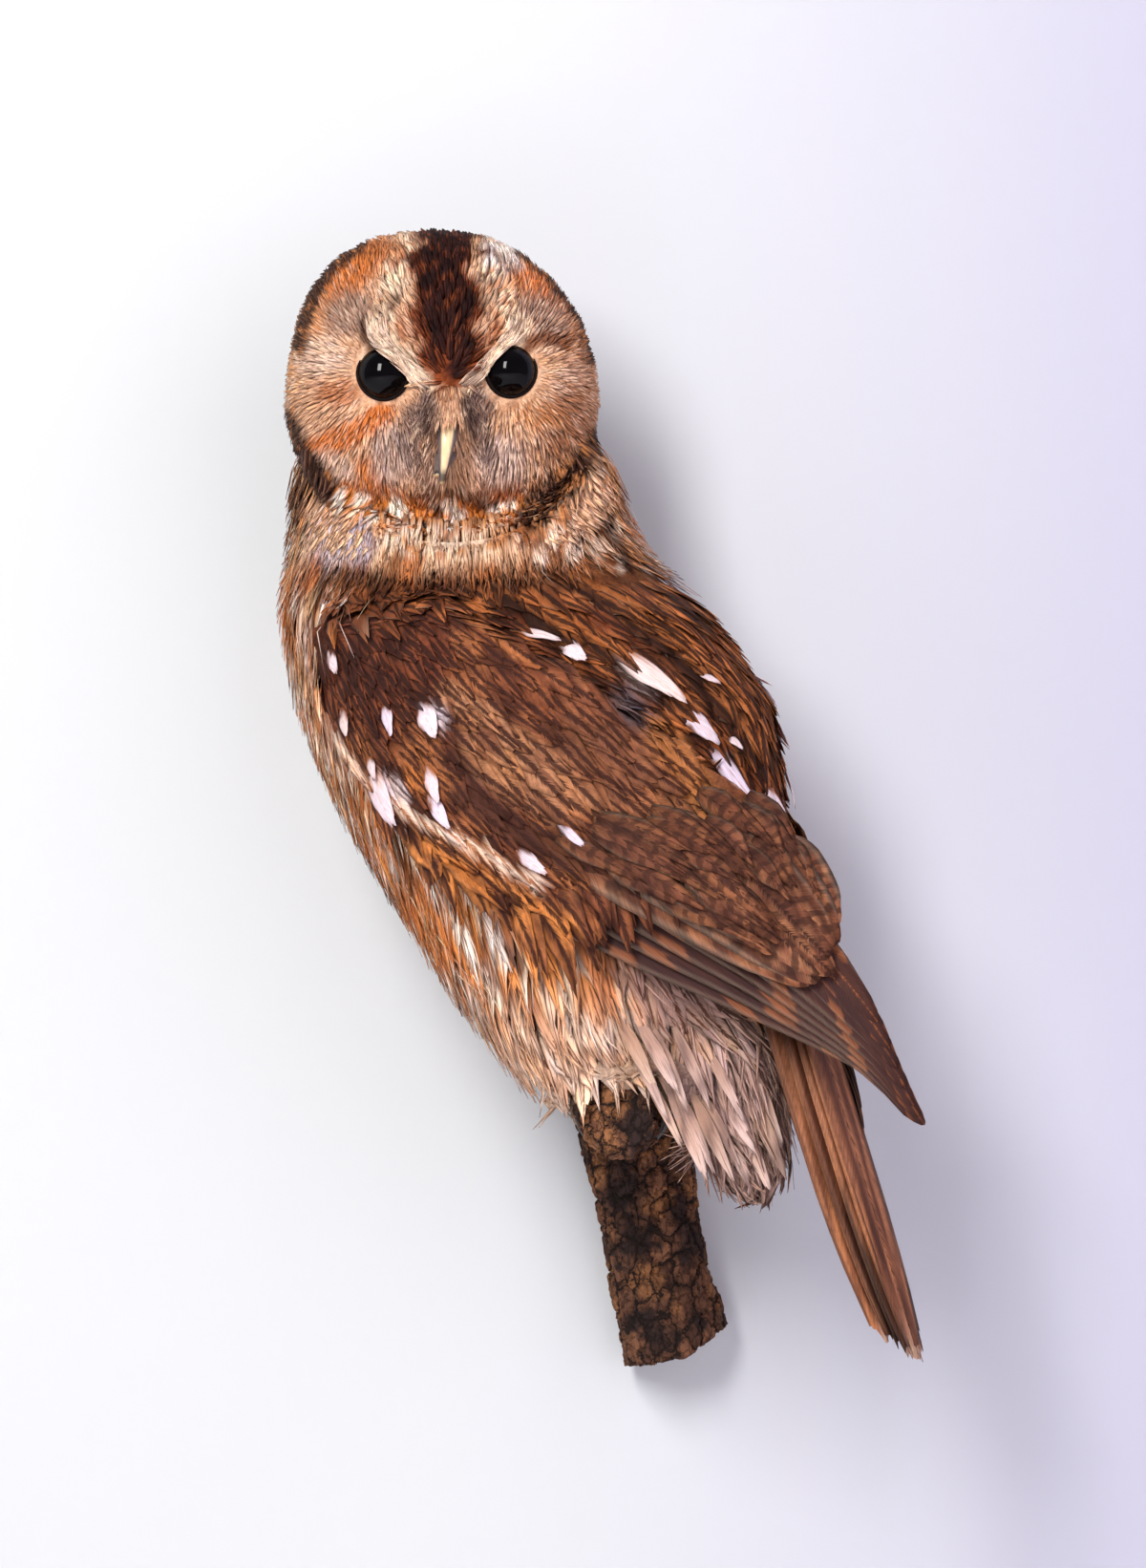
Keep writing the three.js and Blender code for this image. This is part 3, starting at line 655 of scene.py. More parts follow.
class Skin:
    """A closed surface to plant on: smooth normals, regions, and the coat's lie and sizes."""

    def __init__(self, mesh, region, smoothing=6):
        self.places = read(mesh.vertices, "co", 3) / MM
        mesh.calc_loop_triangles()
        self.faces = read(mesh.loop_triangles, "vertices", 3, int)
        self.edges = read(mesh.edges, "vertices", 2, int)
        self.region = region
        a, b, c = (self.places[self.faces[:, i]] for i in range(3))
        cross = np.cross(b - a, c - a)
        self.areas = np.linalg.norm(cross, axis=1) / 2
        normals = np.zeros_like(self.places)
        for i in range(3):
            np.add.at(normals, self.faces[:, i], cross)
        self.normals = unit(self.spread(unit(normals), smoothing))
        self.tree = BVHTree.FromPolygons(self.places.tolist(), self.faces.tolist(), epsilon=0.0)

    def spread(self, values, rounds):
        """Values averaged with their neighbours' over the surface."""
        share = np.zeros(len(self.places))
        np.add.at(share, self.edges.ravel(), 1)
        flat = values if values.ndim > 1 else values[:, None]
        for _ in range(rounds):
            total = np.zeros_like(flat)
            np.add.at(total, self.edges[:, 0], flat[self.edges[:, 1]])
            np.add.at(total, self.edges[:, 1], flat[self.edges[:, 0]])
            flat = 0.5 * flat + 0.5 * total / share[:, None]
        return flat if values.ndim > 1 else flat[:, 0]

    def value(self, field, face, share):
        corners = field[self.faces[face]]
        return np.einsum("nk,nk...->n...", share, corners)

    def roots(self, rng, spacing, crowd=7):
        """Spots at least the local spacing apart, as face numbers and shares of their corners."""
        local = spacing[self.faces].mean(axis=1)
        chance = self.areas * ((local < 0.9 * NEVER) / local ** 2)
        count = int(crowd * chance.sum() * 0.75)
        face = rng.choice(len(self.faces), count, p=chance / chance.sum())
        r = np.sqrt(rng.random(count))
        s = rng.random(count)
        share = np.stack((1 - r, r * (1 - s), r * s), -1)
        spots = self.value(self.places, face, share)
        gaps = local[face]
        order = KDTree(count)
        for i, spot in enumerate(spots):
            order.insert(spot, i)
        order.balance()
        free = np.ones(count, bool)
        kept = []
        for i in range(count):
            if free[i]:
                kept.append(i)
                for _, j, _ in order.find_range(spots[i], gaps[i]):
                    free[j] = False
        return face[kept], share[kept]

    def walk(self, starts, ways, lengths, steps):
        """Paths over the surface from each start: places, normals and directions."""
        count = len(starts)
        places, normals, ways_out = np.empty((3, count, steps, 3))
        here, way = starts.copy(), ways.copy()
        stride = (lengths / (steps - 1))[:, None]
        loose = np.zeros(count, bool)  # paths that have left the skin over an edge or a crease
        before = None
        for k in range(steps):
            face = np.zeros(count, int)
            spots = here.copy()
            for i in np.flatnonzero(~loose):
                spot, _, found, _ = self.tree.find_nearest(here[i])
                spots[i] = spot
                face[i] = found
            normal = unit(self.normals[self.faces[face]].mean(axis=1))
            if before is not None:
                off = np.linalg.norm(spots - here, axis=1) > 0.4 * stride[:, 0]
                bent = np.sum(normal * before, axis=1) < 0.55
                loose = loose | off | bent
                spots = np.where(loose[:, None], here, spots)
                normal = np.where(loose[:, None], before, normal)
            here, before = spots, normal
            way = unit(way - normal * np.sum(way * normal, axis=1, keepdims=True))
            way = np.where(loose[:, None], unit(way + (0, 0, -0.35)), way)
            places[:, k], normals[:, k], ways_out[:, k] = here, normal, way
            here = here + way * stride
        self.left_skin = loose
        return places, normals, ways_out

    def seen_at(self, x, y, missed=None, needed=True):
        """The skin's place that the front view shows at x across and y down.

        A ray that misses is tried again nearer to the place named by missed."""
        aim = Vector(((x - VIEW_SIZE[0] / 2) / VIEW_SCALE, 1.0, (VIEW_SIZE[1] / 2 - y) / VIEW_SCALE))
        hit, _, _, _ = self.tree.ray_cast(Vector(CAMERA_AT), aim.normalized())
        if hit is None and missed is not None:
            towards = np.array(missed) - (x, y)
            if np.hypot(*towards) > 4:
                return self.seen_at(x + 0.2 * towards[0], y + 0.2 * towards[1], missed)
        if hit is None and needed:
            raise ValueError(f"nothing of the bird is seen at {x}, {y}")
        return None if hit is None else np.array(hit)


def rounded_skin(name, inflate, plugs):
    """One closed mesh over the soft CAD nodes, grown a little so that they join, and over balls."""
    places, faces = merged(FLESH, inflate)
    for centre, radii in plugs:
        bm = bmesh.new()
        bmesh.ops.create_icosphere(bm, subdivisions=3, radius=1)
        faces += [[v.index + len(places) for v in f.verts] for f in bm.faces]
        places = np.concatenate((places, np.array([v.co[:] for v in bm.verts]) * radii + centre))
        bm.free()
    piece = new_object(name, mesh_from(name, places, faces))
    remeshed(piece, sizes().skin_voxel)
    keep_largest(piece.data)
    return piece


def remeshed(piece, voxel):
    remesh = piece.modifiers.new("Even", "REMESH")
    remesh.mode = "VOXEL"
    remesh.voxel_size = voxel
    baked(piece)


def keep_largest(mesh):
    """Drops every part of a mesh that isn't joined to its largest one."""
    bm = bmesh.new()
    bm.from_mesh(mesh)
    left, best = set(bm.verts), set()
    while left:
        island, front = set(), {left.pop()}
        while front:
            island |= front
            front = {e.other_vert(v) for v in front for e in v.link_edges} - island
        left -= island
        best = max(best, island, key=len)
    bmesh.ops.delete(bm, geom=[v for v in bm.verts if v not in best], context="VERTS")
    bm.to_mesh(mesh)
    bm.free()


def nearest_region(places):
    """For each place, the number of the nearest of the soft CAD nodes."""
    best = np.full(len(places), FAR)
    region = np.zeros(len(places), int)
    for number, name in enumerate(FLESH):
        points, faces = merged((name,))
        tree = BVHTree.FromPolygons(points.tolist(), faces)
        for i, p in enumerate(places):
            hit = tree.find_nearest(p, best[i])
            if hit[0] is not None and hit[3] < best[i]:
                best[i], region[i] = hit[3], number
    return region


# ---- tufts and feathers

class Tuft:
    """The shape of one tuft or feather: a thin closed vane of a few faces."""

    def __init__(self, columns, profile, rounding=0.0, fray=0.0, camber=0.25, thick=0.25, curl=0.0):
        self.columns = columns
        self.across = np.linspace(-1, 1, columns)
        self.profile = np.array(profile)
        self.along = np.linspace(0, 1, len(profile))
        self.rounding = rounding
        self.fray = fray
        self.camber = camber
        self.thick = thick
        self.curl = curl
        top = list(range(columns))
        low = top[-2:0:-1]
        ring = len(top) + len(low)
        under = {0: 0, columns - 1: columns - 1}
        under.update({c: columns + i for i, c in enumerate(low)})
        last = (len(profile) - 1) * ring
        quads, triangles = [], []
        for a in range(0, last, ring):
            for k in range(ring):
                n = (k + 1) % ring
                quads.append((a + k, a + n, a + ring + n, a + ring + k))
        for a, order in ((0, 1), (last, -1)):
            for c in range(columns - 1):
                face = [a + c, a + under[c], a + under[c + 1], a + c + 1]
                face = list(dict.fromkeys(face))[::order]
                (quads if len(face) == 4 else triangles).append(tuple(face))
        self.quads = np.array(quads).reshape(-1, 4)
        self.triangles = np.array(triangles).reshape(-1, 3)
        self.picked = np.array(top + low)
        self.lower = np.array([0] * columns + [1] * len(low))

    def both_sides(self, upper, lower):
        """Values of the upper and lower face of a vane, put in the order of its corners."""
        picked = np.stack((upper, lower))[self.lower, :, :, self.picked]  # (ring, count, rows, ...)
        return np.moveaxis(picked, 0, 2)

    def grow(self, crop, sink, rng):
        """Corner places for every tuft of a crop, with its shares across and along."""
        count, steps = crop.places.shape[:2]
        u = self.across
        reach = (1 - self.rounding * np.abs(u) ** 2.2)[None] - self.fray * rng.random((count, self.columns))
        s = self.along[None, :, None] * reach[:, None, :]
        x = np.clip(s * (steps - 1), 0, steps - 1 - 1e-6)
        i = x.astype(int)
        f = (x - i)[..., None]
        n = np.arange(count)[:, None, None]
        place, normal, way = (mix(path[n, i], path[n, i + 1], f)
                              for path in (crop.places, crop.normals, crop.ways))
        normal = unit(normal)
        side = np.cross(unit(way), normal)
        wide = crop.half[:, None, None] * self.profile[None, :, None] * u
        lift = crop.lift[:, None, None]
        rise = mix(-sink, lift, s ** 0.75) + self.curl * lift * s ** 4
        rise = rise - self.camber * np.abs(wide) * np.abs(u)
        top = place + side * wide[..., None] + normal * rise[..., None]
        thin = self.thick * (1 - 0.5 * s)
        places = self.both_sides(top, top - normal * thin[..., None])
        u = np.broadcast_to(u, s.shape)
        across, along = self.both_sides(u, u), self.both_sides(s, s)
        return places.reshape(-1, 3), across.reshape(count, -1), along.reshape(count, -1)


FACE_TUFT = Tuft(3, (0.7, 1.0, 0.8, 0.12), 0.0, 0.12, 0.2, 0.2)
STRAND = Tuft(3, (0.6, 1.0, 0.85, 0.18), 0.0, 0.15, 0.25, 0.3)
WISP = Tuft(3, (1.0, 0.8, 0.08), 0.0, 0.0, 0.0, 0.25)
CONTOUR = Tuft(5, (0.35, 0.85, 1.0, 0.9, 0.34), 0.22, 0.16, 0.22, 0.3)
COVERT = Tuft(7, (0.4, 0.8, 1.0, 0.9, 0.5), 0.3, 0.2, 0.16, 0.3)
SPOTTED = Tuft(13, (0.3, 0.6, 0.85, 1.0, 1.05, 1.05, 0.95, 0.75), 0.3, 0.12, 0.14, 0.25)
LOOSE = Tuft(5, (0.35, 0.7, 0.8, 0.7, 0.2), 0.2, 0.3, 0.3, 0.3, 0.3)
FLIGHT = Tuft(9, (0.25, 0.55, 0.8, 0.93, 1.0, 1.0, 1.0, 0.98, 0.95, 0.9, 0.8, 0.62), 0.16, 0.006, 0.12, 0.45)
RECTRIX = Tuft(13, (0.4, 0.6, 0.78, 0.9, 0.96, 1.0, 1.0, 1.0, 1.0, 0.94, 0.84, 0.66), 0.05, 0.05, 0.1, 0.45)


class Crop:
    """Tufts that are about to grow: their paths over the skin, parts, half widths and lifts."""

    def __init__(self, paths, region, half=1.0, lift=1.0, long=0.0, loose=False):
        self.places, self.normals, self.ways = paths
        for key, value in (("region", region), ("half", half), ("lift", lift), ("long", long),
                           ("loose", loose)):
            setattr(self, key, np.broadcast_to(value, len(self.places)))

    def only(self, keep):
        part = copy.copy(self)
        for key, values in vars(self).items():
            setattr(part, key, values[keep])
        return part


def laid(rows, region, half, lift):
    """A crop from rows of places with their outward normals."""
    places = np.array([r[0] for r in rows])
    normals = unit(np.array([r[1] for r in rows]))
    return Crop((places, normals, unit(np.gradient(places, axis=1))), region, half, lift)


def unwrapped(places, centre, height):
    """A round unwrap of the skin: the angle about the upright, and the angle of rise."""
    d = places - centre
    turn = np.arctan2(d[:, 1], d[:, 0]) / (2 * np.pi) + 0.5
    rise = np.arctan2(d[:, 2] / height, np.hypot(d[:, 0], d[:, 1]) / 60) / np.pi + 0.5
    return np.stack((0.01 + 0.98 * turn, 0.01 + 0.98 * rise), -1)


TUFT_PATCH = 0.003


def coat_piece(name, tuft, crop, rng, slot, finish, sink=0.5, shade=0.12, painter=paint, tone=1.0,
               unwrap=BODY_MAP, replaces=()):
    """All the tufts of one part of the coat as a single mesh, painted and mapped."""
    count = len(crop.region)
    places, across, along = tuft.grow(crop, sink, rng)
    size = across.shape[1]
    across, along = across.ravel(), along.ravel()
    firsts = (np.arange(count) * size)[:, None, None]
    mesh, corners = quick_mesh(name, places, (tuft.quads + firsts).reshape(-1, 4),
                               (tuft.triangles + firsts).reshape(-1, 3))
    ground, mark, style = painter(places, np.repeat(crop.region, size), along, across)
    light = np.repeat(tone * (1 + shade * rng.standard_normal(count)), size)
    # Each tuft is painted darker towards its root: painted shade where the tufts overlap.
    light = light * (0.7 + 0.3 * np.minimum(along * 2.0, 1))
    warm = np.repeat(0.05 * rng.standard_normal(count), size)
    ground = ground * light[:, None] * (1 + warm[:, None] * np.array((0.4, 0, -1.0)))
    set_colours(mesh, "ground", np.clip(ground, 0.003, 0.95))
    set_colours(mesh, "mark", mark)
    set_colours(mesh, "style", style)
    seed = np.repeat(rng.integers(0, 400, count), size)
    across = (across + 1) / 2
    set_uv(mesh, "Vane", corners, np.stack((seed + 0.02 + 0.96 * across, along), -1))
    roots = np.repeat(unwrapped(crop.places[:, 0], *unwrap), size, axis=0)
    inner = np.stack((across, along), -1) * TUFT_PATCH
    set_uv(mesh, "OFBake", corners, roots + inner - TUFT_PATCH / 2)
    mesh.uv_layers["OFBake"].active_render = True
    finish_piece(new_object(name, mesh, STATE[finish]), slot, *replaces)


# ---- materials

class Wiring:
    """Short ways to make and join the nodes of a tree."""

    def __init__(self, tree):
        self.tree = tree

    def node(self, kind, values=None, **settings):
        if not kind.startswith(("Geometry", "NodeGroup")):
            kind = "ShaderNode" + kind
        made = self.tree.nodes.new(kind)
        for key, value in settings.items():
            setattr(made, key, value)
        for key, value in (values or {}).items():
            if isinstance(value, bpy.types.NodeSocket):
                self.tree.links.new(value, made.inputs[key])
            else:
                made.inputs[key].default_value = value
        return made.outputs

    def maths(self, operation, a, b=0.5):
        return self.node("Math", {0: a, 1: b}, operation=operation)[0]

    def plus(self, a, b):
        return self.maths("ADD", a, b)

    def minus(self, a, b):
        return self.maths("SUBTRACT", a, b)

    def times(self, a, b):
        return self.maths("MULTIPLY", a, b)

    def blended(self, factor, a, b, blend="MIX"):
        return self.node("Mix", {0: factor, 6: a, 7: b}, data_type="RGBA", blend_type=blend)[2]

    def ranged(self, value, low, high, bottom=0.0, top=1.0, way="LINEAR"):
        return self.node("MapRange", {0: value, 1: low, 2: high, 3: bottom, 4: top},
                         interpolation_type=way)[0]

    def ramp(self, value, low, high, bottom=0.0, top=1.0):
        return self.ranged(value, low, high, bottom, top, "SMOOTHSTEP")

    def noise(self, place, scale, detail, rough=0.5, output=0):
        return self.node("TexNoise", {"Vector": place, "Scale": scale, "Detail": detail,
                                      "Roughness": rough})[output]

    def plates(self, place, scale, small_scale):
        """How far a place on the bark is from the nearest crack, and the colour of its plate."""
        bend = self.noise(place, 170.0, 5.0, 0.7, "Color")
        for operation, amount in (("MULTIPLY", (0.007, 0.007, 0.010)), ("ADD", place),
                                  ("MULTIPLY", (1.0, 1.0, 0.62))):
            bend = self.node("VectorMath", {0: bend, 1: amount}, operation=operation)[0]
        near, small = (self.node("TexVoronoi", {"Vector": bend, "Scale": s}, feature="DISTANCE_TO_EDGE")[0]
                       for s in (scale, small_scale))
        cracks = self.maths("MINIMUM", near, self.plus(self.times(small, 1.2), 0.03))
        return cracks, self.node("TexVoronoi", {"Vector": bend, "Scale": scale})["Color"]


class Finish(Wiring):
    """A new material with its shader."""

    def __init__(self, name):
        self.made = bpy.data.materials.new(name)
        self.made.use_nodes = True
        super().__init__(self.made.node_tree)
        self.shader = self.tree.nodes["Principled BSDF"]

    def painted(self, name="ground"):
        return self.node("Attribute", attribute_name=name)["Color"]

    def place(self):
        return self.node("TexCoord")["Object"]

    def shaded(self, colour, value, low, high, dark, light):
        """The colour made darker and lighter as a value goes from low to high."""
        shade = self.ranged(value, low, high, dark, light)
        return self.blended(1.0, colour, self.node("CombineColor", {0: shade, 1: shade, 2: shade})[0],
                            "MULTIPLY")

    def done(self, colour, roughness, specular=0.1, relief=None, strength=0.0, depth=0.0):
        if isinstance(colour, tuple):
            self.shader.inputs["Base Color"].default_value = colour
        else:
            self.tree.links.new(colour, self.shader.inputs["Base Color"])
        self.shader.inputs["Roughness"].default_value = roughness
        self.shader.inputs["Specular IOR Level"].default_value = specular
        if relief is not None:
            bump = self.node("Bump", {"Height": relief, "Strength": strength, "Distance": depth})[0]
            self.tree.links.new(bump, self.shader.inputs["Normal"])
        return self.made


def plumage_material(name, barbs=(40.0, 3.0), slope=0.32, bar_rate=26.0, roughness=0.7, bump=0.5,
                     marbled=0.0, notched=False, depth=(0.62, 1.42)):
    """Feather: shaft streak, cross bars and fine barbs, all from the vane's own map.

    barbs are how many barb lines lie along the vane and across it."""
    t = Finish(name)
    ground, mark = t.painted("ground"), t.painted("mark")
    streak_width, bar_strength, edge_strength = t.node("SeparateColor", {0: t.painted("style")})
    u, v, _ = t.node("SeparateXYZ", {0: t.node("UVMap", uv_map="Vane")[0]})
    seed = t.maths("FLOOR", u)
    u = t.maths("FRACT", u)
    edge = t.times(t.maths("ABSOLUTE", t.minus(u, 0.5)), 2.0)

    def vane_noise(along, rate, across_rate, scale, rough):
        place = t.node("CombineXYZ", {0: t.times(along, rate), 1: t.times(u, across_rate), 2: seed})
        return t.noise(place[0], scale, 3.0, rough)

    # barbs run outwards and towards the tip
    barb = vane_noise(t.minus(v, t.times(edge, slope)), *barbs, 1.0, 0.62)
    patch = vane_noise(v, 3.2, 2.6, 1.3, 0.5)
    # the dark shaft streak widens towards the tip and has ragged sides
    reach = t.plus(edge, t.times(t.minus(barb, 0.5), 0.5))
    wide = t.times(streak_width, t.plus(v, 0.45))
    streak = t.ramp(t.minus(wide, reach), -0.07, 0.07)
    bend = t.plus(t.minus(v, t.times(edge, 0.06)), t.times(patch, 0.12))
    wave = t.maths("SINE", t.times(bend, bar_rate))
    bars = t.times(t.ramp(wave, *((0.55, 0.8) if notched else (0.0, 0.7))), bar_strength)
    if notched:
        bars = t.times(bars, t.ramp(edge, 0.35, 0.6))
    bars = t.times(bars, t.ramp(patch, 0.22, 0.5))
    fleck = t.maths("MAXIMUM", streak, bars)
    colour = t.blended(t.times(fleck, 0.9), ground, mark)
    if marbled:
        vein = t.times(t.ramp(t.noise(t.place(), 330.0, 4.0, 0.65), 0.46, 0.62), marbled)
        colour = t.blended(vein, colour, t.blended(0.55, mark, colour))
    pale = t.times(t.ramp(edge, 0.62, 1.0), edge_strength)
    colour = t.blended(pale, colour, t.blended(0.55, colour, (0.78, 0.58, 0.42, 1)))
    # Painted shade and light: the vane is darker where its barb relief is low and lighter where it is high.
    colour = t.shaded(colour, barb, 0.25, 0.75, *depth)
    return t.done(colour, roughness, 0.1, barb, bump, 0.0006)


def skin_material():
    t = Finish("plumage_ground")
    down = t.noise(t.place(), 900.0, 4.0, 0.6)
    # Painted shade: the ground under the coat is darkened, most where the down's relief is low.
    return t.done(t.shaded(t.painted(), down, 0.3, 0.7, 0.45, 0.95), 0.85, 0.1, down, 0.8, 0.0008)


def glass_eye_material():
    t = Finish("glass_eye")
    depth = t.ramp(t.noise(t.place(), 220.0, 3.0), 0.4, 0.8)
    t.shader.inputs["IOR"].default_value = 1.46
    return t.done(t.blended(depth, (0.0008, 0.0006, 0.0009, 1), (0.002, 0.0015, 0.0018, 1)), 0.06, 0.17)


def horn_material(name):
    """Horn that reads its painted colour, with fine growth lines along it."""
    t = Finish(name)
    stretch = t.node("Mapping", {"Vector": t.place(), "Scale": (1400.0, 1400.0, 260.0)})[0]
    lines = t.noise(stretch, 1.0, 3.0)
    t.shader.inputs["Coat Weight"].default_value = 0.25
    t.shader.inputs["Coat Roughness"].default_value = 0.25
    return t.done(t.shaded(t.painted(), lines, 0.3, 0.7, 0.8, 1.15), 0.30, 0.5, lines, 0.25, 0.0003)


SMALL_PLATES = 2.3  # how many times finer the small cracks of the bark are


def bark_material():
    t = Finish("cracked_bark")
    place = t.place()
    scale = 1 / sizes().bark_plate
    cracks, cells = t.plates(place, scale, scale * SMALL_PLATES)
    grain = t.noise(place, 520.0, 5.0, 0.7)
    worn = t.noise(place, 60.0, 3.0)
    tone = t.node("SeparateColor", {0: cells})[0]
    base = t.blended(tone, (0.030, 0.013, 0.010, 1), (0.230, 0.096, 0.048, 1))
    base = t.blended(t.times(t.ramp(worn, 0.50, 0.62), 0.85), base, (0.33, 0.135, 0.050, 1))
    base = t.blended(t.ramp(worn, 0.46, 0.36), base, (0.026, 0.014, 0.012, 1))
    base = t.blended(t.ramp(grain, 0.35, 0.75), t.blended(0.5, base, (0.022, 0.012, 0.010, 1)), base)
    # The cracks are painted nearly black: the bark's own darker fissures with painted shade in their depth.
    base = t.blended(t.ramp(cracks, 0.085, 0.02), base, (0.010, 0.006, 0.005, 1))
    high = t.plus(t.times(t.ramp(cracks, 0.0, 0.14), 0.7), t.times(grain, 0.6))
    return t.done(base, 0.85, 0.2, high, 0.7, 0.0016)


def bark_tree(bark):
    """Geometry Nodes: sinks cracks between plates and roughens the bark, except at the wall."""
    t = Wiring(bpy.data.node_groups.new("Bark plates", "GeometryNodeTree"))
    for name, way, kind in (("Geometry", "INPUT", "Geometry"), ("Plates per metre", "INPUT", "Float"),
                            ("Crack depth", "INPUT", "Float"), ("Geometry", "OUTPUT", "Geometry")):
        t.tree.interface.new_socket(name, in_out=way, socket_type="NodeSocket" + kind)
    shape, scale, crack_depth = t.node("NodeGroupInput")[:3]
    place = t.node("GeometryNodeInputPosition")[0]
    cracks, cells = t.plates(place, scale, t.times(scale, SMALL_PLATES))
    step_up = t.node("SeparateXYZ", {0: cells})[1]
    plate = t.ramp(cracks, 0.0, 0.11, -1.0, 0.0)
    rough = t.noise(place, 420.0, 3.0)
    high = t.plus(plate, t.times(t.minus(step_up, 0.5), 0.55))
    high = t.plus(high, t.times(t.minus(rough, 0.5), 0.8))
    off_wall = t.ranged(t.node("SeparateXYZ", {0: place})[1], -0.0015, -0.006)
    high = t.times(t.times(high, crack_depth), off_wall)
    normal = t.node("GeometryNodeInputNormal")[0]
    offset = t.node("VectorMath", {0: normal, "Scale": high}, operation="SCALE")[0]
    shape = t.node("GeometryNodeSetPosition", {"Geometry": shape, "Offset": offset})[0]
    shape = t.node("GeometryNodeRealizeInstances", {0: shape})[0]
    shape = t.node("GeometryNodeSetMaterial", {"Geometry": shape, "Material": bark})[0]
    t.node("NodeGroupOutput", {0: shape})
    return t.tree


# ---- the lie of the coat

def dorsal_share(bird):
    """1 on the back and shoulders, 0 on the breast and flank."""
    mirror = np.stack((bird[:, 0], np.abs(bird[:, 1]), bird[:, 2]), -1)
    view = to_view(from_bird(mirror))
    upper = step(600 + (view[:, 0] - 330) * 0.77 - view[:, 1], -14, 14)
    behind = step(bird[:, 0] - (bird[:, 2] - 150) * 0.55, 4, -26)
    return np.maximum(upper, behind)


def disc_share(points):
    """1 on the facial discs, 0 outside their rim."""
    view = to_view(points)
    out = np.hypot((view[:, 0] - 466) / 166, (view[:, 1] - 398) / 148)
    return step(out, 1.04, 0.94) * step(to_head(points)[:, 0], 0, 6)


def inside_v(head):
    """1 between the two cream stripes that run up from the bill, 0 outside them."""
    width = np.interp(head[:, 2], (-5, 0, 8, 20, 32, 45, 60), (4, 7, 13, 21, 20, 15, 12))
    return step(width - np.abs(head[:, 1]), -2.5, 2.5) * step(head[:, 2], -4, 0)

EYES = {side: np.array((EYE_FORWARD, EYE_APART / 2 * side, EYE_ABOVE)) for side in (-1, 1)}


def left_or_right(places):
    return np.where(places[:, 1] < 0, -1.0, 1.0)


def head_way(points):
    """Which way feathers lie on the head, as directions in the world."""
    h = to_head(points)
    side = left_or_right(h)
    eye = np.where(side[:, None] < 0, EYES[-1], EYES[1])
    from_eye = unit(h - eye)
    from_bill = unit(h - np.array((40.0, 0.0, -2.0)))
    v = inside_v(h)[:, None]
    disc = disc_share(points)[:, None]
    back = unit(from_bill + np.array((-0.5, 0, -0.7)))
    way = mix(back, from_eye, disc)
    way = mix(way, from_bill, v)
    near_bill = (step(np.abs(h[:, 1]), 14, 8) * step(h[:, 2], 2, -3))[:, None] * disc
    down = unit(np.stack((np.zeros(len(h)), side * 0.3, -np.ones(len(h))), -1))
    way = mix(way, down, near_bill)
    return unit(way) @ HEAD_TURN.T


def body_way(points, region):
    bird = to_bird(points)
    side = left_or_right(bird)
    middle = step(np.abs(bird[:, 1]), 26, 6)[:, None]
    mantle = np.stack((0 * side - 0.76, side * -0.15, 0 * side - 0.63), -1)
    mantle = mix(mantle, np.array((-0.5, 0, -0.86)), middle)
    way = mix(np.array((-0.28, 0, -1)), mantle, dorsal_share(bird)[:, None])
    on_wing = np.stack((0 * side - 0.76, side * -0.15, 0 * side - 0.66), -1)
    for parts, lie in ((WINGS, on_wing), ((VENT,) + LEGS, (-0.4, 0, -0.9)), (NECK, (0, 0, -1))):
        way = np.where(np.isin(region, parts)[:, None], lie, way)
    return unit(way) @ BIRD_TURN.T


def wing_place(s, t, sunk=0.0, side=1):
    """A point of the folded wing: s from wrist to tip, t from leading to upper edge."""
    s, t, sunk = np.broadcast_arrays(np.asarray(s, float), t, sunk)
    last = len(WING_RIBS) - 1
    x = np.clip(s, 0, 1) * last
    i = np.minimum(x.astype(int), last - 1)
    around = (WING_RIBS[np.clip(i + k, 0, last)] for k in (-1, 0, 1, 2))
    rib = curve(*around, (x - i)[..., None])
    low, high, bulge = rib[..., :3], rib[..., 3:6], rib[..., 6]
    out = unit(np.cross(high - low, np.broadcast_to(WING_OUT, low.shape)))
    out = np.where(out[..., 1:2] < 0, -out, out)
    place = low + (high - low) * t[..., None] + out * (4 * bulge * t * (1 - t) - sunk)[..., None]
    if side < 0:
        place = place * (1, -1, 1) - (60, 0, 190)
        place = place @ turned(-8.5, "Y").T + (63, 0, 193)
    return from_bird(place)


# ---- settings

def length_setting(name, description, default):
    return FloatProperty(name=name, description=description, default=default, unit="LENGTH")


def colour_setting(name, description, *default):
    return FloatVectorProperty(name=name, description=description, default=tuple(tint(*default)),
                               subtype="COLOR")


class OwlSizes(PropertyGroup):
    seed: IntProperty(name="Seed", description="Start of the random draws", default=7)
    skin_voxel: length_setting("Skin step", "Size of the skin's faces", 0.0022)
    face_gap: length_setting("Face tufts", "Gap between the roots of face tufts", 0.00084)
    crown_gap: length_setting("Crown tufts", "Gap between the roots of crown tufts", 0.0016)
    neck_gap: length_setting("Neck feathers", "Gap between the roots of neck feathers", 0.0024)
    body_gap: length_setting("Body feathers", "Gap between the roots of body feathers", 0.0036)
    wing_gap: length_setting("Wing coverts", "Gap between the roots of wing coverts", 0.0031)
    eye_radius: length_setting("Eye radius", "Radius of a glass eye", EYE_RADIUS * MM)
    bark_plate: length_setting("Bark plate", "Width of a plate of bark", 0.0067)
    bark_crack: length_setting("Bark crack", "Depth of the cracks in the bark", 0.0017)
    bill_ridge: colour_setting("Bill ridge", "Colour of the bill's ridge", 222, 196, 150)
    bill_side: colour_setting("Bill side", "Colour of the bill's sides", 104, 90, 86)


STATE = {}


def sizes():
    return bpy.context.scene.owl_sizes


def draws(number):
    """Random draws of one piece's own, which the seed setting shifts."""
    return np.random.default_rng(sizes().seed + number)


# ---- operators

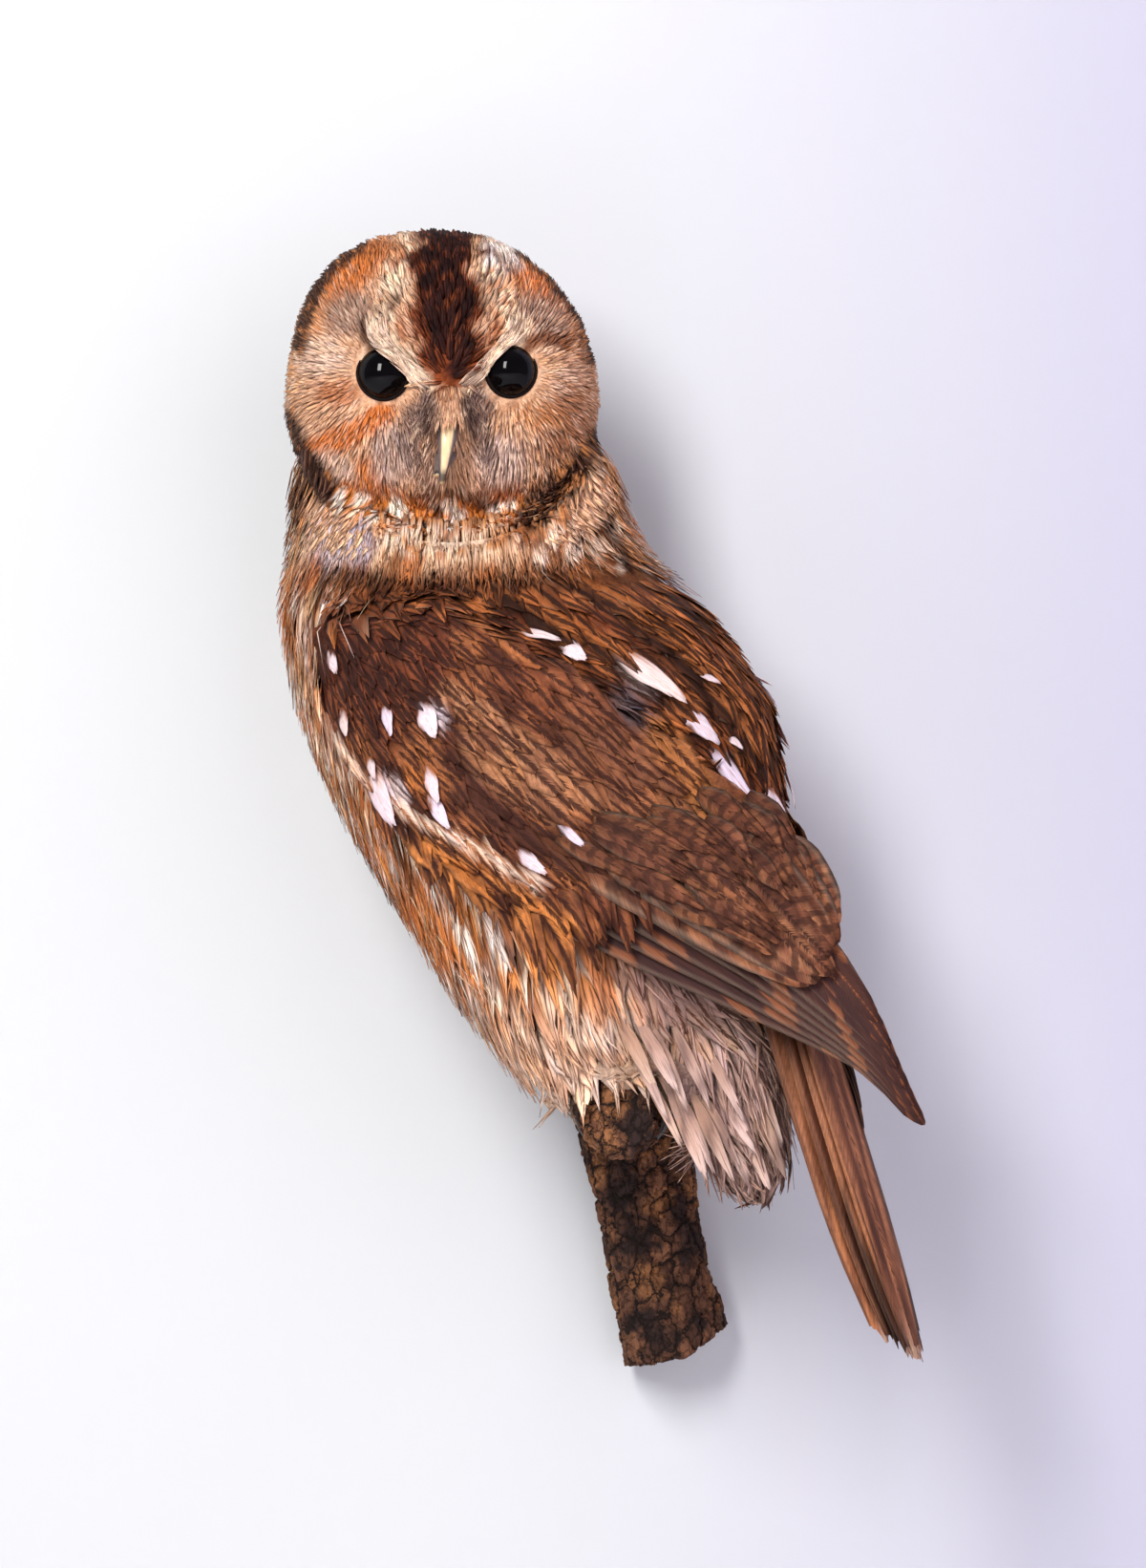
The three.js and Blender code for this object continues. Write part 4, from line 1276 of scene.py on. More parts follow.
COAT_DEPTH = {HEAD: 2.6, NECK: 4.6, TRUNK: 4.6, VENT: 10.0, LEG_LEFT: 2.2, LEG_RIGHT: 2.2,
              WING_LEFT: 2.3, WING_RIGHT: 2.3}


INFLATE = 0.5


class OWL_OT_skin(Operator):
    """Make the one skin that lies under all the plumage"""
    bl_idname = "owl.skin"
    bl_label = "Skin"

    def execute(self, context):
        plugs = [(from_head(EYES[side]), EYE_RADIUS) for side in (-1, 1)]
        plugs.append((from_head((29, 0, -12)), np.array((9.0, 11.0, 12.0))))
        piece = rounded_skin("owl_skin", INFLATE, plugs)
        mesh = piece.data
        region = nearest_region(read(mesh.vertices, "co", 3) / MM)
        skin = Skin(mesh, region)
        depth = np.vectorize(COAT_DEPTH.get)(region).astype(float)
        depth = skin.spread(depth, 12) + INFLATE
        for _ in range(4):
            move_to(mesh, skin.places - skin.normals * (depth / 4)[:, None])
            mesh.update()
            skin = Skin(mesh, region, 4)
        move_to(mesh, skin.spread(skin.places, 4))
        mesh.update()
        skin = STATE["skin"] = Skin(mesh, region)
        ways = np.where((region == HEAD)[:, None], head_way(skin.places), body_way(skin.places, region))
        skin.ways = unit(skin.spread(ways, 2))
        set_colours(mesh, "ground", paint(skin.places, region)[0])
        corners = read(mesh.loops, "vertex_index", 1, int)[:, 0]
        set_uv(mesh, "OFBake", corners, unwrapped(skin.places, *BODY_MAP))
        mesh.materials.append(STATE["skin_finish"])
        finish_piece(piece, "plumage_trunk", *FLESH)
        return {"FINISHED"}


def planted(skin, rng, spacing, lengths, steps, turn_by=6, vary=0.12):
    """A crop that starts all over the skin, at least the local spacing apart."""
    face, share = skin.roots(rng, spacing)
    spots = skin.value(skin.places, face, share)
    long = skin.value(lengths, face, share) * (1 + vary * rng.standard_normal(len(face)))
    way = unit(skin.value(skin.ways, face, share))
    normal = unit(skin.value(skin.normals, face, share))
    swing = np.radians(turn_by) * rng.standard_normal(len(face))
    way = way * np.cos(swing)[:, None] + np.cross(normal, way) * np.sin(swing)[:, None]
    region = skin.region[skin.faces[face, np.argmax(share, axis=1)]]
    paths = skin.walk(spots, way, long, steps)
    return Crop(paths, region, long=long, loose=skin.left_skin)


def eye_distance(points):
    h = to_head(points)
    return np.minimum(*(np.linalg.norm(h - eye, axis=1) for eye in EYES.values()))


def hidden_flats(skin):
    """The crease under the head and the hollow over the perch, which grow nothing."""
    up = skin.normals[:, 2]
    crease = (skin.region == NECK) & (up > 0.55) & (to_head(skin.places)[:, 0] > -5)
    hollow = np.isin(skin.region, (TRUNK, VENT)) & (up < -0.6) & (skin.places[:, 2] < 75)
    return crease | hollow


def by_part(parts, other, *choices):
    """A value for each place: that of the last choice which holds its part of the bird."""
    values = np.full(len(parts), float(other))
    for chosen, value in choices:
        values = np.where(np.isin(parts, chosen), value, values)
    return values


RUFF_PATH = ((314, 470), (336, 503), (388, 527), (470, 538), (546, 528), (592, 502), (624, 460))
RUFF_ROWS = ((-12, 170), (-5, 170), (2, 180), (7, 190), (11, 190), (15, 190), (19, 190), (23, 150))
# Each brow's path, its side, how many tufts it has, and how far off the path they start.
BROWS = ((((452, 404), (434, 386), (416, 368), (402, 346), (404, 318)), -1, 230, -15, 4),
         (((486, 404), (502, 388), (518, 370), (534, 350), (538, 322)), 1, 230, -8, 6),
         (((450, 408), (434, 394), (419, 376), (406, 360), (401, 342)), -1, 130, -5, 2),
         (((484, 404), (500, 391), (511, 376), (523, 359), (533, 342)), 1, 130, -4, 2))


def head_piece(name, tuft, crop, rng, finish, sink, shade, painter=paint):
    coat_piece(name, tuft, crop, rng, "plumage_head", finish, sink, shade, painter, unwrap=HEAD_MAP)


def brows(skin, rng):
    """Pale bristles that run up from the bill and hang over the inner top of each eye."""
    rows = []
    for stripe, side, count, low, high in BROWS:
        eye = from_head(EYES[side])
        for _ in range(count):
            t = 0.7 * rng.random()
            off = rng.uniform(low, high) * side
            fan = rng.uniform(0.0, 9.0) * side
            path = []
            for k in range(4):
                x, y = spine_at(stripe, min(t + 0.075 * k, 1))
                x, y = x - off + fan * k / 3 * 0.8, y + abs(off) * 0.3 * (-1 if off * side > 0 else 1)
                out = skin.seen_at(x, y) + np.array((0, -1, 0.1)) * (0.5 + 0.9 * math.sin(k)) - eye
                path.append(eye + unit(out) * max(np.linalg.norm(out), EYE_RADIUS + 0.9))
            rows.append((path, np.tile((0.25 * side, -1.0, 0.15), (4, 1))))
    count = len(rows)

    def pale(points, region, along, across):
        ground, mark, style = paint(points, region)
        ground = stained(ground, (246, 218, 194), np.full(len(points), 0.6))
        ground = stained(ground, (110, 80, 66), flecks(points, 1.0, 52, 0.25, 0.4) * 0.7)
        return ground, mark, style

    half, lift = 0.34 + 0.16 * rng.random(count), 0.5 + 0.9 * rng.random(count)
    head_piece("brow_tufts", FACE_TUFT, laid(rows, HEAD, half, lift), rng, "fine_plumage", 0.2, 0.12, pale)


def bill_tufts(rng):
    """Silky tufts that start beside and over the root of the bill and cover it."""
    rows, count = [], 620
    for _ in range(count):
        t = 0.02 + 0.30 * rng.random()
        angle = math.radians(rng.uniform(-118, 118))
        long = rng.uniform(6.0, 10.0) * (1.25 - 0.9 * t)
        spread = abs(math.sin(angle))
        path, normal = [], []
        for k in range(5):
            here = min(t + k / 4 * long / 36, 0.98)
            centre, top = bill_at(BILL_RIDGE, here)
            radius = 6.6 * mix(1, 0.62, here) + 2.6 * spread * k / 4
            out = top * math.cos(angle) + SIDEWAYS * math.sin(angle)
            path.append(from_head(centre + out * radius * 0.93))
            normal.append(out @ HEAD_TURN.T)
        rows.append((path, normal))
    half, lift = 0.38 + 0.22 * rng.random(count), 0.5 + 0.7 * rng.random(count)
    head_piece("bill_tufts", FACE_TUFT, laid(rows, HEAD, half, lift), rng, "fine_plumage", 0.2, 0.16)


def ruff(skin, rng):
    """The collar of stiff little feathers that stands out under the discs."""
    starts, lie = [], []
    for drop, count in RUFF_ROWS:
        for i in range(count):
            x, y = spine_at(RUFF_PATH, (i + rng.random()) / count)
            spread = (x - 466) / 166
            y += drop + rng.normal(0, 2.5)
            x += spread * drop * 0.8
            start = skin.seen_at(x, y, needed=False)
            if start is not None:
                starts.append(start)
                lie.append((spread * 0.9, -0.25, -1.0))
    count = len(starts)
    paths = skin.walk(np.array(starts), unit(np.array(lie)), 9.5 + 5.0 * rng.random(count), 5)
    half, lift = 1.2 + 0.9 * rng.random(count), 3.4 + 2.8 * rng.random(count)
    head_piece("ruff_feathers", STRAND, Crop(paths, HEAD, half, lift), rng, "strand_plumage", 0.3, 0.18)


class OWL_OT_head_coat(Operator):
    """Grow the face discs, the crown and the nape"""
    bl_idname = "owl.head_coat"
    bl_label = "Head plumage"

    def execute(self, context):
        skin, rng = STATE["skin"], draws(0)
        head = skin.region == HEAD
        h = to_head(skin.places)
        v = inside_v(h) * step(h[:, 0], 2, 12)
        from_eye = eye_distance(skin.places)
        face = head & (disc_share(skin.places) > 0.5) & (v < 0.5)
        clear = from_eye > EYE_RADIUS + 0.3
        gap = np.where(face & clear, sizes().face_gap / MM, NEVER)
        long = np.clip(3.5 + (from_eye - EYE_RADIUS) * 0.42, 3.5, 10.5)
        crop = planted(skin, rng, gap, long, 4, 9, 0.15)
        roots = crop.places[:, 0]
        crop.half = 0.42 + 0.2 * rng.random(len(roots))
        lift = np.clip(0.7 + 0.16 * (eye_distance(roots) - EYE_RADIUS), 0.7, 2.3)
        crop.lift = lift * (0.75 + 0.5 * rng.random(len(roots)))
        left = to_head(roots)[:, 1] > 0
        for name, keep in (("face_tufts_left", left), ("face_tufts_right", ~left)):
            head_piece(name, FACE_TUFT, crop.only(keep), rng, "fine_plumage", 0.25, 0.13)
        gap = np.where(head & ~face & clear, sizes().crown_gap / MM, NEVER)
        crop = planted(skin, rng, gap, mix(9.0, 14.0, step(h[:, 0], 4, -14)), 4, 9, 0.15)
        roots = crop.places[:, 0]
        crop.half = 0.9 + 0.5 * rng.random(len(roots))
        crop.lift = 2.2 * (0.7 + 0.6 * rng.random(len(roots)))
        front = to_head(roots)[:, 0] > 0
        for name, keep in (("crown_strands", front), ("nape_strands", ~front)):
            head_piece(name, STRAND, crop.only(keep), rng, "strand_plumage", 0.3, 0.16)
        ruff(skin, rng)
        bill_tufts(rng)
        brows(skin, rng)
        return {"FINISHED"}


# Where the tips of the feathers under the tail show in the front view.
TIPS = ((717, 1208), (733, 1222), (748, 1232), (768, 1240), (786, 1246), (807, 1252), (823, 1238),
        (700, 1178), (728, 1190), (760, 1205), (792, 1214), (820, 1206), (712, 1150), (745, 1165),
        (780, 1178), (812, 1176), (740, 1238), (776, 1228), (798, 1240), (690, 1150), (722, 1170))


def throat(skin):
    """Feathers that start under the collar and hang over the crease below it."""
    rng = draws(13)
    rows, halves = [], []
    towards = np.array((0.0, -1.0, 0.0))
    t = np.linspace(0, 1, 6)[:, None]
    for _ in range(900):
        x = rng.uniform(322, 590)
        share = (x - 466) / 140
        y = rng.uniform(537, 580) - 24 * abs(share) ** 1.6
        reach = rng.uniform(34, 52)
        start = skin.seen_at(x, y, needed=False)
        if start is None:
            continue
        x += share * rng.uniform(6, 16) + rng.normal(0, 4)
        end = skin.seen_at(x, y + reach, needed=False)
        if end is None or np.linalg.norm(end - start) > mix(34, 24, abs(share)):
            continue
        bow = towards * (4 * t * (1 - t) * rng.uniform(1.0, 2.5) + rng.uniform(2.5, 4.5) * t)
        rows.append((start + (end - start) * t + bow, np.tile((share * 0.5, -1.0, 0.35), (6, 1))))
        halves.append(rng.uniform(1.2, 2.2))
    crop = laid(rows, NECK, halves, 0.6 + 1.2 * rng.random(len(rows)))
    coat_piece("throat_feathers", LOOSE, crop, rng, "plumage_neck", "loose_plumage", 0.3, 0.1)


def undertail(skin):
    """The long pale feathers under the tail, each with its own tip."""
    rng = draws(12)
    rows, halves = [], []
    t = np.linspace(0, 1, 8)[:, None]
    out = np.array((0.15, -1.0, -0.1))
    for x, y in TIPS:
        reach = 88 + 22 * rng.random()
        start = skin.seen_at(x - 36 - 14 * rng.random(), y - reach, (735, 1140))
        k = VIEW_SCALE / (start[1] - CAMERA_AT[1])
        end = np.array((CAMERA_AT[0] + (x - VIEW_SIZE[0] / 2) / k, start[1] + rng.uniform(-1, 6),
                        CAMERA_AT[2] - (y - VIEW_SIZE[1] / 2) / k))
        bow = out * (4 * t * (1 - t) * 3.0 + 2.0 * t)
        rows.append((start + (end - start) * t + bow, np.tile(out, (8, 1))))
        halves.append(rng.uniform(1.7, 2.7))

    def pale(points, region, along, across):
        ground = stained(painted((168, 132, 114), points), (202, 176, 164), step(along, 0.3, 0.95))
        ground = stained(ground, (116, 90, 82), 0.8 * flecks(points * (1, 1, 0.3), 2.4, 34, 0.0, 0.3))
        return ground, painted((150, 120, 108), points), np.tile((0.04, 0.0, 0.2), (len(points), 1))

    coat_piece("undertail_feathers", SPOTTED, laid(rows, VENT, halves, 0.6), rng, "plumage_vent",
               "loose_plumage", 0.1, 0.06, pale)


def wisps(skin):
    """Fine single strands that soften the neck, the breast, the flank and the vent."""
    rng = draws(11)
    parts = skin.region
    dorsal = dorsal_share(to_bird(skin.places))
    soft = ((parts == TRUNK) & (dorsal < 0.5)) | np.isin(parts, (NECK, VENT))
    gap = np.where(soft & ~hidden_flats(skin), np.where(parts == VENT, 1.7, 2.8), NEVER)
    crop = planted(skin, rng, gap, np.where(parts == NECK, 20.0, 26.0), 5, 14, 0.2)
    crop = crop.only(~crop.loose)
    crop.half = 0.22 + 0.16 * rng.random(len(crop.long))
    crop.lift = 4.6 + 1.6 * rng.random(len(crop.long))
    coat_piece("soft_wisps", WISP, crop, rng, "plumage_trunk", "fine_plumage", -1.0, 0.25, tone=1.12)


class OWL_OT_body_coat(Operator):
    """Grow the feathers of the neck, the trunk, the vent and the legs"""
    bl_idname = "owl.body_coat"
    bl_label = "Body plumage"

    def execute(self, context):
        skin, rng = STATE["skin"], draws(1)
        dorsal = dorsal_share(to_bird(skin.places))
        parts = skin.region
        neck_gap = sizes().neck_gap / MM
        gap = by_part(parts, NEVER, (NECK, neck_gap), (TRUNK, sizes().body_gap / MM),
                      (VENT, neck_gap * 1.1), (LEGS, 2.0))
        gap[hidden_flats(skin)] = NEVER
        height = skin.places[:, 2]
        long = by_part(parts, 26.0, (NECK, 20.0), (LEGS, 9.0),
                       (TRUNK, mix(mix(32.0, 26.0, dorsal), 12.0, step(height, 84, 44))),
                       (VENT, mix(30.0, 13.0, step(height, 62, 20))))
        crop = planted(skin, rng, gap, skin.spread(long, 8), 6, 8, 0.14)
        crop = crop.only(~(crop.loose & (crop.places[:, 0, 2] > 120)))
        region = crop.region
        spot = to_bird(crop.places[:, 0])
        on_back = dorsal_share(spot)
        half = np.where(region == NECK, 2.2, mix(3.4, 4.6, on_back)) * (0.7 + 0.6 * rng.random(len(spot)))
        crop.half = np.where(region == VENT, 2.4, np.where(np.isin(region, LEGS), 1.5, half))
        crop.lift = by_part(region, 4.2, (LEGS, 1.8), (VENT, 6.5)) * (0.75 + 0.5 * rng.random(len(spot)))
        back = (region == TRUNK) & (on_back > 0.5)
        breast = (region == TRUNK) & (on_back <= 0.5)
        left = spot[:, 1] > 0
        for name, tuft, keep, slot in (
                ("neck_feathers", LOOSE, region == NECK, "plumage_neck"),
                ("breast_feathers_left", LOOSE, breast & left, "plumage_trunk"),
                ("breast_feathers_right", LOOSE, breast & ~left, "plumage_trunk"),
                ("back_feathers_left", CONTOUR, back & left, "plumage_trunk"),
                ("back_feathers_right", CONTOUR, back & ~left, "plumage_trunk"),
                ("vent_feathers", LOOSE, region == VENT, "plumage_vent"),
                ("leg_feathers", STRAND, np.isin(region, LEGS), "plumage_leg")):
            coat_piece(name, tuft, crop.only(keep), rng, slot,
                       "plumage" if tuft is CONTOUR else "loose_plumage", shade=0.08)
        wisps(skin)
        undertail(skin)
        throat(skin)
        return {"FINISHED"}


# Where each white spot starts in the front view, its length and half width in
# millimetres, and how far it points below level.
WING_SPOTS = 11
SPOTS = (
    (346, 681, 9.5, 2.0, 36), (360, 741, 9, 2.1, 50), (404, 735, 10.5, 2.0, 57), (441, 735, 12, 3.2, 52),
    (388, 792, 7, 2.0, 39), (386, 803, 19, 4.2, 45), (448, 801, 11, 2.3, 61), (450, 830, 12, 2.4, 44),
    (539, 887, 12, 2.2, 31), (583, 862, 10, 1.5, 36), (653, 890, 7, 1.3, 32),
    (531, 662, 15, 1.6, 25), (584, 671, 11, 2.6, 52), (632, 676, 27, 3.6, 43), (704, 737, 16, 3.0, 45),
    (735, 774, 23, 2.8, 51), (792, 820, 11, 2.8, 49), (727, 706, 7, 1.5, 60), (755, 767, 6, 1.4, 60))


def down_wing(points):
    """How far down the wing from the shoulder, in millimetres."""
    bird = to_bird(points)
    return (76 - bird[:, 0]) * 0.76 + (206 - bird[:, 2]) * 0.63


def spotted_feathers(skin, rng):
    starts, lie, long, half = [], [], [], []
    flip = np.array((1, -1, 1))
    for x, y, reach, wide, angle in SPOTS:
        a = math.radians(angle)
        start = skin.seen_at(x, y)
        way = np.array((math.cos(a), 0, -math.sin(a)))
        starts += [start, from_bird(to_bird(start) * flip)]
        lie += [way, ((way @ BIRD_TURN) * flip) @ BIRD_TURN.T]
        long += [reach, reach]
        half += [wide * 1.2, wide * 1.2]
    paths = skin.walk(np.array(starts), unit(np.array(lie)), np.array(long) * 1.25, 6)

    def white(points, region, along, across):
        ground, mark, style = paint(points, region)
        spot = np.hypot(across, (along - 0.6) / 0.45) + 0.4 * noise(points, 1.6, 31)
        ground = stained(ground, (208, 190, 196), step(spot, 1.15, 0.7))
        return ground, painted((190, 150, 130), points), style * 0

    lift = np.where(np.arange(len(long)) // 2 >= WING_SPOTS, 6.8, 4.0)
    coat_piece("spotted_feathers", SPOTTED, Crop(paths, WING_LEFT, half, lift), rng, "plumage_wing",
               "loose_plumage", -1.2, 0.05, white)


class OWL_OT_wing_coat(Operator):
    """Grow the coverts of both wings, then lay the white-spotted feathers over them"""
    bl_idname = "owl.wing_coat"
    bl_label = "Wing coverts"

    def execute(self, context):
        skin, rng = STATE["skin"], draws(2)
        reach = down_wing(skin.places)
        ends_here = np.sum(skin.normals * skin.ways, axis=1) > 0.45
        side = left_or_right(to_bird(skin.places))
        outer = np.stack((-0.25 + 0 * side, side, 0.5 + 0 * side), -1) @ BIRD_TURN.T
        inner = np.sum(skin.normals * unit(outer), axis=1) < -0.25
        gaps = sizes().wing_gap / MM * mix(0.85, 1.25, step(reach, 20, 110))
        gaps = np.where(ends_here | inner, NEVER, gaps)
        for name, part in (("coverts_left", WING_LEFT), ("coverts_right", WING_RIGHT)):
            gap = np.where(skin.region == part, gaps, NEVER)
            crop = planted(skin, rng, gap, mix(13.0, 31.0, step(reach, 5, 110)), 6, 5, 0.1)
            crop = crop.only(~(crop.loose & (crop.places[:, 0, 2] > 150)))
            count = len(crop.long)
            crop.half = np.clip(crop.long * 0.19, 2.4, 5.4) * (0.75 + 0.5 * rng.random(count))
            lift = 2.3 * (0.75 + 0.5 * rng.random(count))
            crop.lift = lift * mix(0.3, 1, step(down_wing(crop.places[:, 0]), 0, 32))
            coat_piece(name, COVERT, crop, rng, "plumage_wing", "wing_plumage", shade=0.07)
        spotted_feathers(skin, rng)
        return {"FINISHED"}


def flight_paint(dark, light, bars, streak=0.1, edge=0.3, mottled=0.35, stains=()):
    """A painter for stiff feathers that carry bars instead of markings by place.

    Each stain has a colour, a strength, and the size, seed and limits of its flecks."""
    def painter(points, region, along, across):
        ground = stained(painted(light, points), dark, mottled * flecks(points, 2.4, 11, -0.2, 0.4))
        ground = mix(ground, tint(*light) * 0.6, (0.6 * flecks(points, 9.0, 44, 0.0, 0.5))[:, None])
        for colour, strength, *patch in stains:
            ground = stained(ground, colour, strength * flecks(points, *patch))
        return ground, painted(dark, points), np.tile((streak, bars, edge), (len(points), 1))
    return painter


SECONDARIES = 8
PRIMARY_TIPS = (0.93, 1.0, 0.995, 0.975, 0.95, 0.92, 0.89, 0.86, 0.82)
TERTIALS = 34
FEATHER_STEPS = 12


def feather_row(side, s_range, t_range, sunk):
    """Places of one feather along the folded wing, with the directions out of it."""
    s, t = np.linspace(*s_range, FEATHER_STEPS), np.linspace(*t_range, FEATHER_STEPS)
    here = wing_place(s, t, sunk, side)
    return here, wing_place(s, t, sunk - 1.0, side) - here


class OWL_OT_flight_feathers(Operator):
    """Lay the barred secondaries and primaries of both folded wings"""
    bl_idname = "owl.flight_feathers"
    bl_label = "Flight feathers"

    def execute(self, context):
        rng = draws(3)
        brown, tan = (46, 26, 21), (116, 70, 50)
        barred = flight_paint(brown, tan, 0.8, 0.05, 0.35, 0.75)
        marbled = flight_paint(brown, tan, 0.8, 0.05, 0.35, 0.75, (
            ((66, 38, 30), 0.75, 2.6, 64, 0.0, 0.25), ((164, 106, 70), 0.45, 2.2, 65, 0.1, 0.3)))
        primary = flight_paint((150, 88, 52), (56, 34, 31), 0.5, 0.0, 0.25, 0.05)

        def secondary(points, region, along, across):
            ground, mark, style = barred(points, region, along, across)
            view = to_view(points)
            low = step(view[:, 1] - 0.25 * (view[:, 0] - 760), 846, 884)
            tan = step(np.hypot((view[:, 0] - 722) / 46, (view[:, 1] - 800) / 70), 1.2, 0.5)
            ground = stained(ground, (168, 106, 62), 0.35 * tan)
            ground = stained(ground, (72, 42, 32), 0.7 * flecks(points, 2.1, 57, 0.05, 0.3))
            ground = stained(ground, (166, 112, 78), 0.6 * flecks(points, 1.7, 56, 0.15, 0.35))
            style[:, 1] *= low * 0.9 + 0.1
            return ground, mark, style

        def tertial(points, region, along, across):
            ground, mark, style = marbled(points, region, along, across)
            return ground, mark, style * (1.0, 0.9, 0.6)

        for side, name in ((1, "left"), (-1, "right")):
            rows = []
            for share in np.linspace(0, 1, SECONDARIES):
                tip = mix(0.735, 0.67, share ** 2) + 0.02 * rng.normal()
                sunk = mix(3.2, 0.2, share) - 0.6 * np.linspace(0, 1, FEATHER_STEPS)
                rows.append(feather_row(side, (mix(0.40, 0.53, share), tip),
                                     (mix(0.34, 0.9, share), mix(0.42, 0.94, share)), sunk))
            coat_piece(f"secondaries_{name}", FLIGHT, laid(rows, WING_LEFT, 10.0, 0.8), rng, "plumage_wing",
                       "stiff_plumage", 0.2, 0.06, secondary, replaces=(f"wing_{name}_secondaries",))
            rows, halves = [], []
            for _ in range(TERTIALS):
                root, t = rng.uniform(0.40, 0.56), rng.uniform(0.3, 1.0)
                s_range = (root, root + rng.uniform(0.09, 0.13))
                rows.append(feather_row(side, s_range, (t, t + rng.uniform(-0.03, 0.05)),
                                     -0.6 - 0.9 * np.linspace(0, 1, FEATHER_STEPS)))
                halves.append(rng.uniform(3.4, 5.6))
            coat_piece(f"tertials_{name}", COVERT, laid(rows, WING_LEFT, halves, 1.2), rng, "plumage_wing",
                       "wing_plumage", 0.2, 0.1, tertial)
            rows = []
            shares = np.linspace(0, 1, len(PRIMARY_TIPS))
            for share, tip in zip(shares, PRIMARY_TIPS):
                sunk = mix(8.6, 4.8, share) - 2.0 * (np.linspace(0.4, tip, FEATHER_STEPS) - 0.4)
                t_range = (mix(0.1, 0.7, share), mix(0.14, 0.75, share))
                rows.append(feather_row(side, (0.4, tip), t_range, sunk))
            coat_piece(f"primaries_{name}", FLIGHT, laid(rows, WING_LEFT, mix(6.2, 7.5, shares), 0.6), rng,
                       "plumage_wing", "notched_plumage", 0.2, 0.06, primary,
                       replaces=(f"wing_{name}_primaries",))
        return {"FINISHED"}


SIDEWAYS = np.array((0.0, 1.0, 0.0))


TAIL_FEATHERS = 12
# Painted shade in the gap between the tail feathers lies along these places.
TAIL_GAP_SHADE = ((880, 1240), (893, 1290), (918, 1350), (944, 1410))  # the dark gap down the tail


class OWL_OT_tail_feathers(Operator):
    """Lay the twelve feathers of the closed tail"""
    bl_idname = "owl.tail_feathers"
    bl_label = "Tail"

    def execute(self, context):
        rng = draws(4)
        lean = math.radians(TAIL_LEAN)
        axis = np.array((-math.sin(lean), 0, -math.cos(lean)))
        up = np.array((-math.cos(lean), 0, math.sin(lean)))
        share = np.linspace(0, 1, FEATHER_STEPS)
        rows, halves = [], []
        for k in range(TAIL_FEATHERS):
            across = (2 * (k // 2) + 0.8 + 0.4 * (k % 2)) / TAIL_FEATHERS * 2 - 1
            middle = 1 - abs(across)
            reach = 1 - (0.06 if across > 0 else 0.02) * abs(across) ** 1.5 - 0.02 * rng.random()
            half = mix(8.0, 13.5, middle ** 0.7)
            offset = across * (TAIL_HALF_WIDTH - half) * mix(0.5, 1, np.sin(share * 1.9))
            roof = -6 * across ** 2 * mix(1, 0.6, share) + mix(4.5, 0.4, share) * (0.3 + middle * 0.7)
            place = (TAIL_ROOT + axis * (TAIL_LENGTH * reach * share)[:, None]
                     + SIDEWAYS * offset[:, None] + up * (roof + middle * 1.3 - 0.6)[:, None])
            tilt = up + SIDEWAYS * across * 0.45
            rows.append((from_bird(place), np.tile(tilt, (FEATHER_STEPS, 1)) @ BIRD_TURN.T))
            halves.append(half)
        base = flight_paint((60, 34, 25), (128, 78, 52), 0.1, 0.06, 0.05, 0.3)

        def plain(points, region, along, across):
            ground, mark, style = base(points, region, along, across)
            streaks = noise(points * (1.0, 1.0, 0.14), 2.0, 33)
            end = step(along, 0.45, 0.95)
            # painted shade along the gap between the tail feathers
            gap = Brush(points, region).line(TAIL_GAP_SHADE, (4, 9), 0.5)
            for colour, weight in (((84, 46, 33), 0.85 * step(streaks, -0.05, 0.3)),
                                   ((176, 116, 82), 0.5 * step(streaks, -0.2, -0.45)),
                                   ((62, 33, 22), end * step(streaks, 0.0, 0.35)),
                                   ((186, 118, 72), end * step(streaks, -0.3, -0.5) * 0.8),
                                   ((214, 176, 150), step(along, 0.965, 0.99) * 0.8),
                                   ((34, 18, 14), 0.9 * gap)):
                ground = stained(ground, colour, weight)
            return ground, mark, style

        coat_piece("tail_feathers", RECTRIX, laid(rows, TRUNK, halves, 0.5), rng, "plumage_tail",
                   "stiff_plumage", 0.2, 0.07, plain, replaces=("tail",))
        return {"FINISHED"}


def lid(name, centre, basis, radius):
    """A soft dark rim that follows the eyeball, a little lower over its top."""
    rings = []
    for a in np.arange(48) * 2 * math.pi / 48:
        polar = math.radians(64 + 3 * math.cos(2 * a))
        around = np.array((math.cos(a), math.sin(a), 0))
        spoke = around * math.sin(polar) + np.array((0, 0, math.cos(polar)))
        slope = around * math.cos(polar) - np.array((0, 0, math.sin(polar)))
        ring = [spoke * (radius + 0.1 + 0.55 * math.sin(b)) + slope * (0.9 * math.cos(b) + 0.4)
                for b in np.arange(8) * 2 * math.pi / 8]
        rings.append([from_head(basis @ p + centre) for p in ring])
    mesh = mesh_from(name, *tube(rings, looped=True))
    facing_out(mesh)
    set_colours(mesh, "ground", tint(26, 18, 16))
    finish_piece(new_object(name, mesh, STATE["skin_finish"]), "plumage_head")


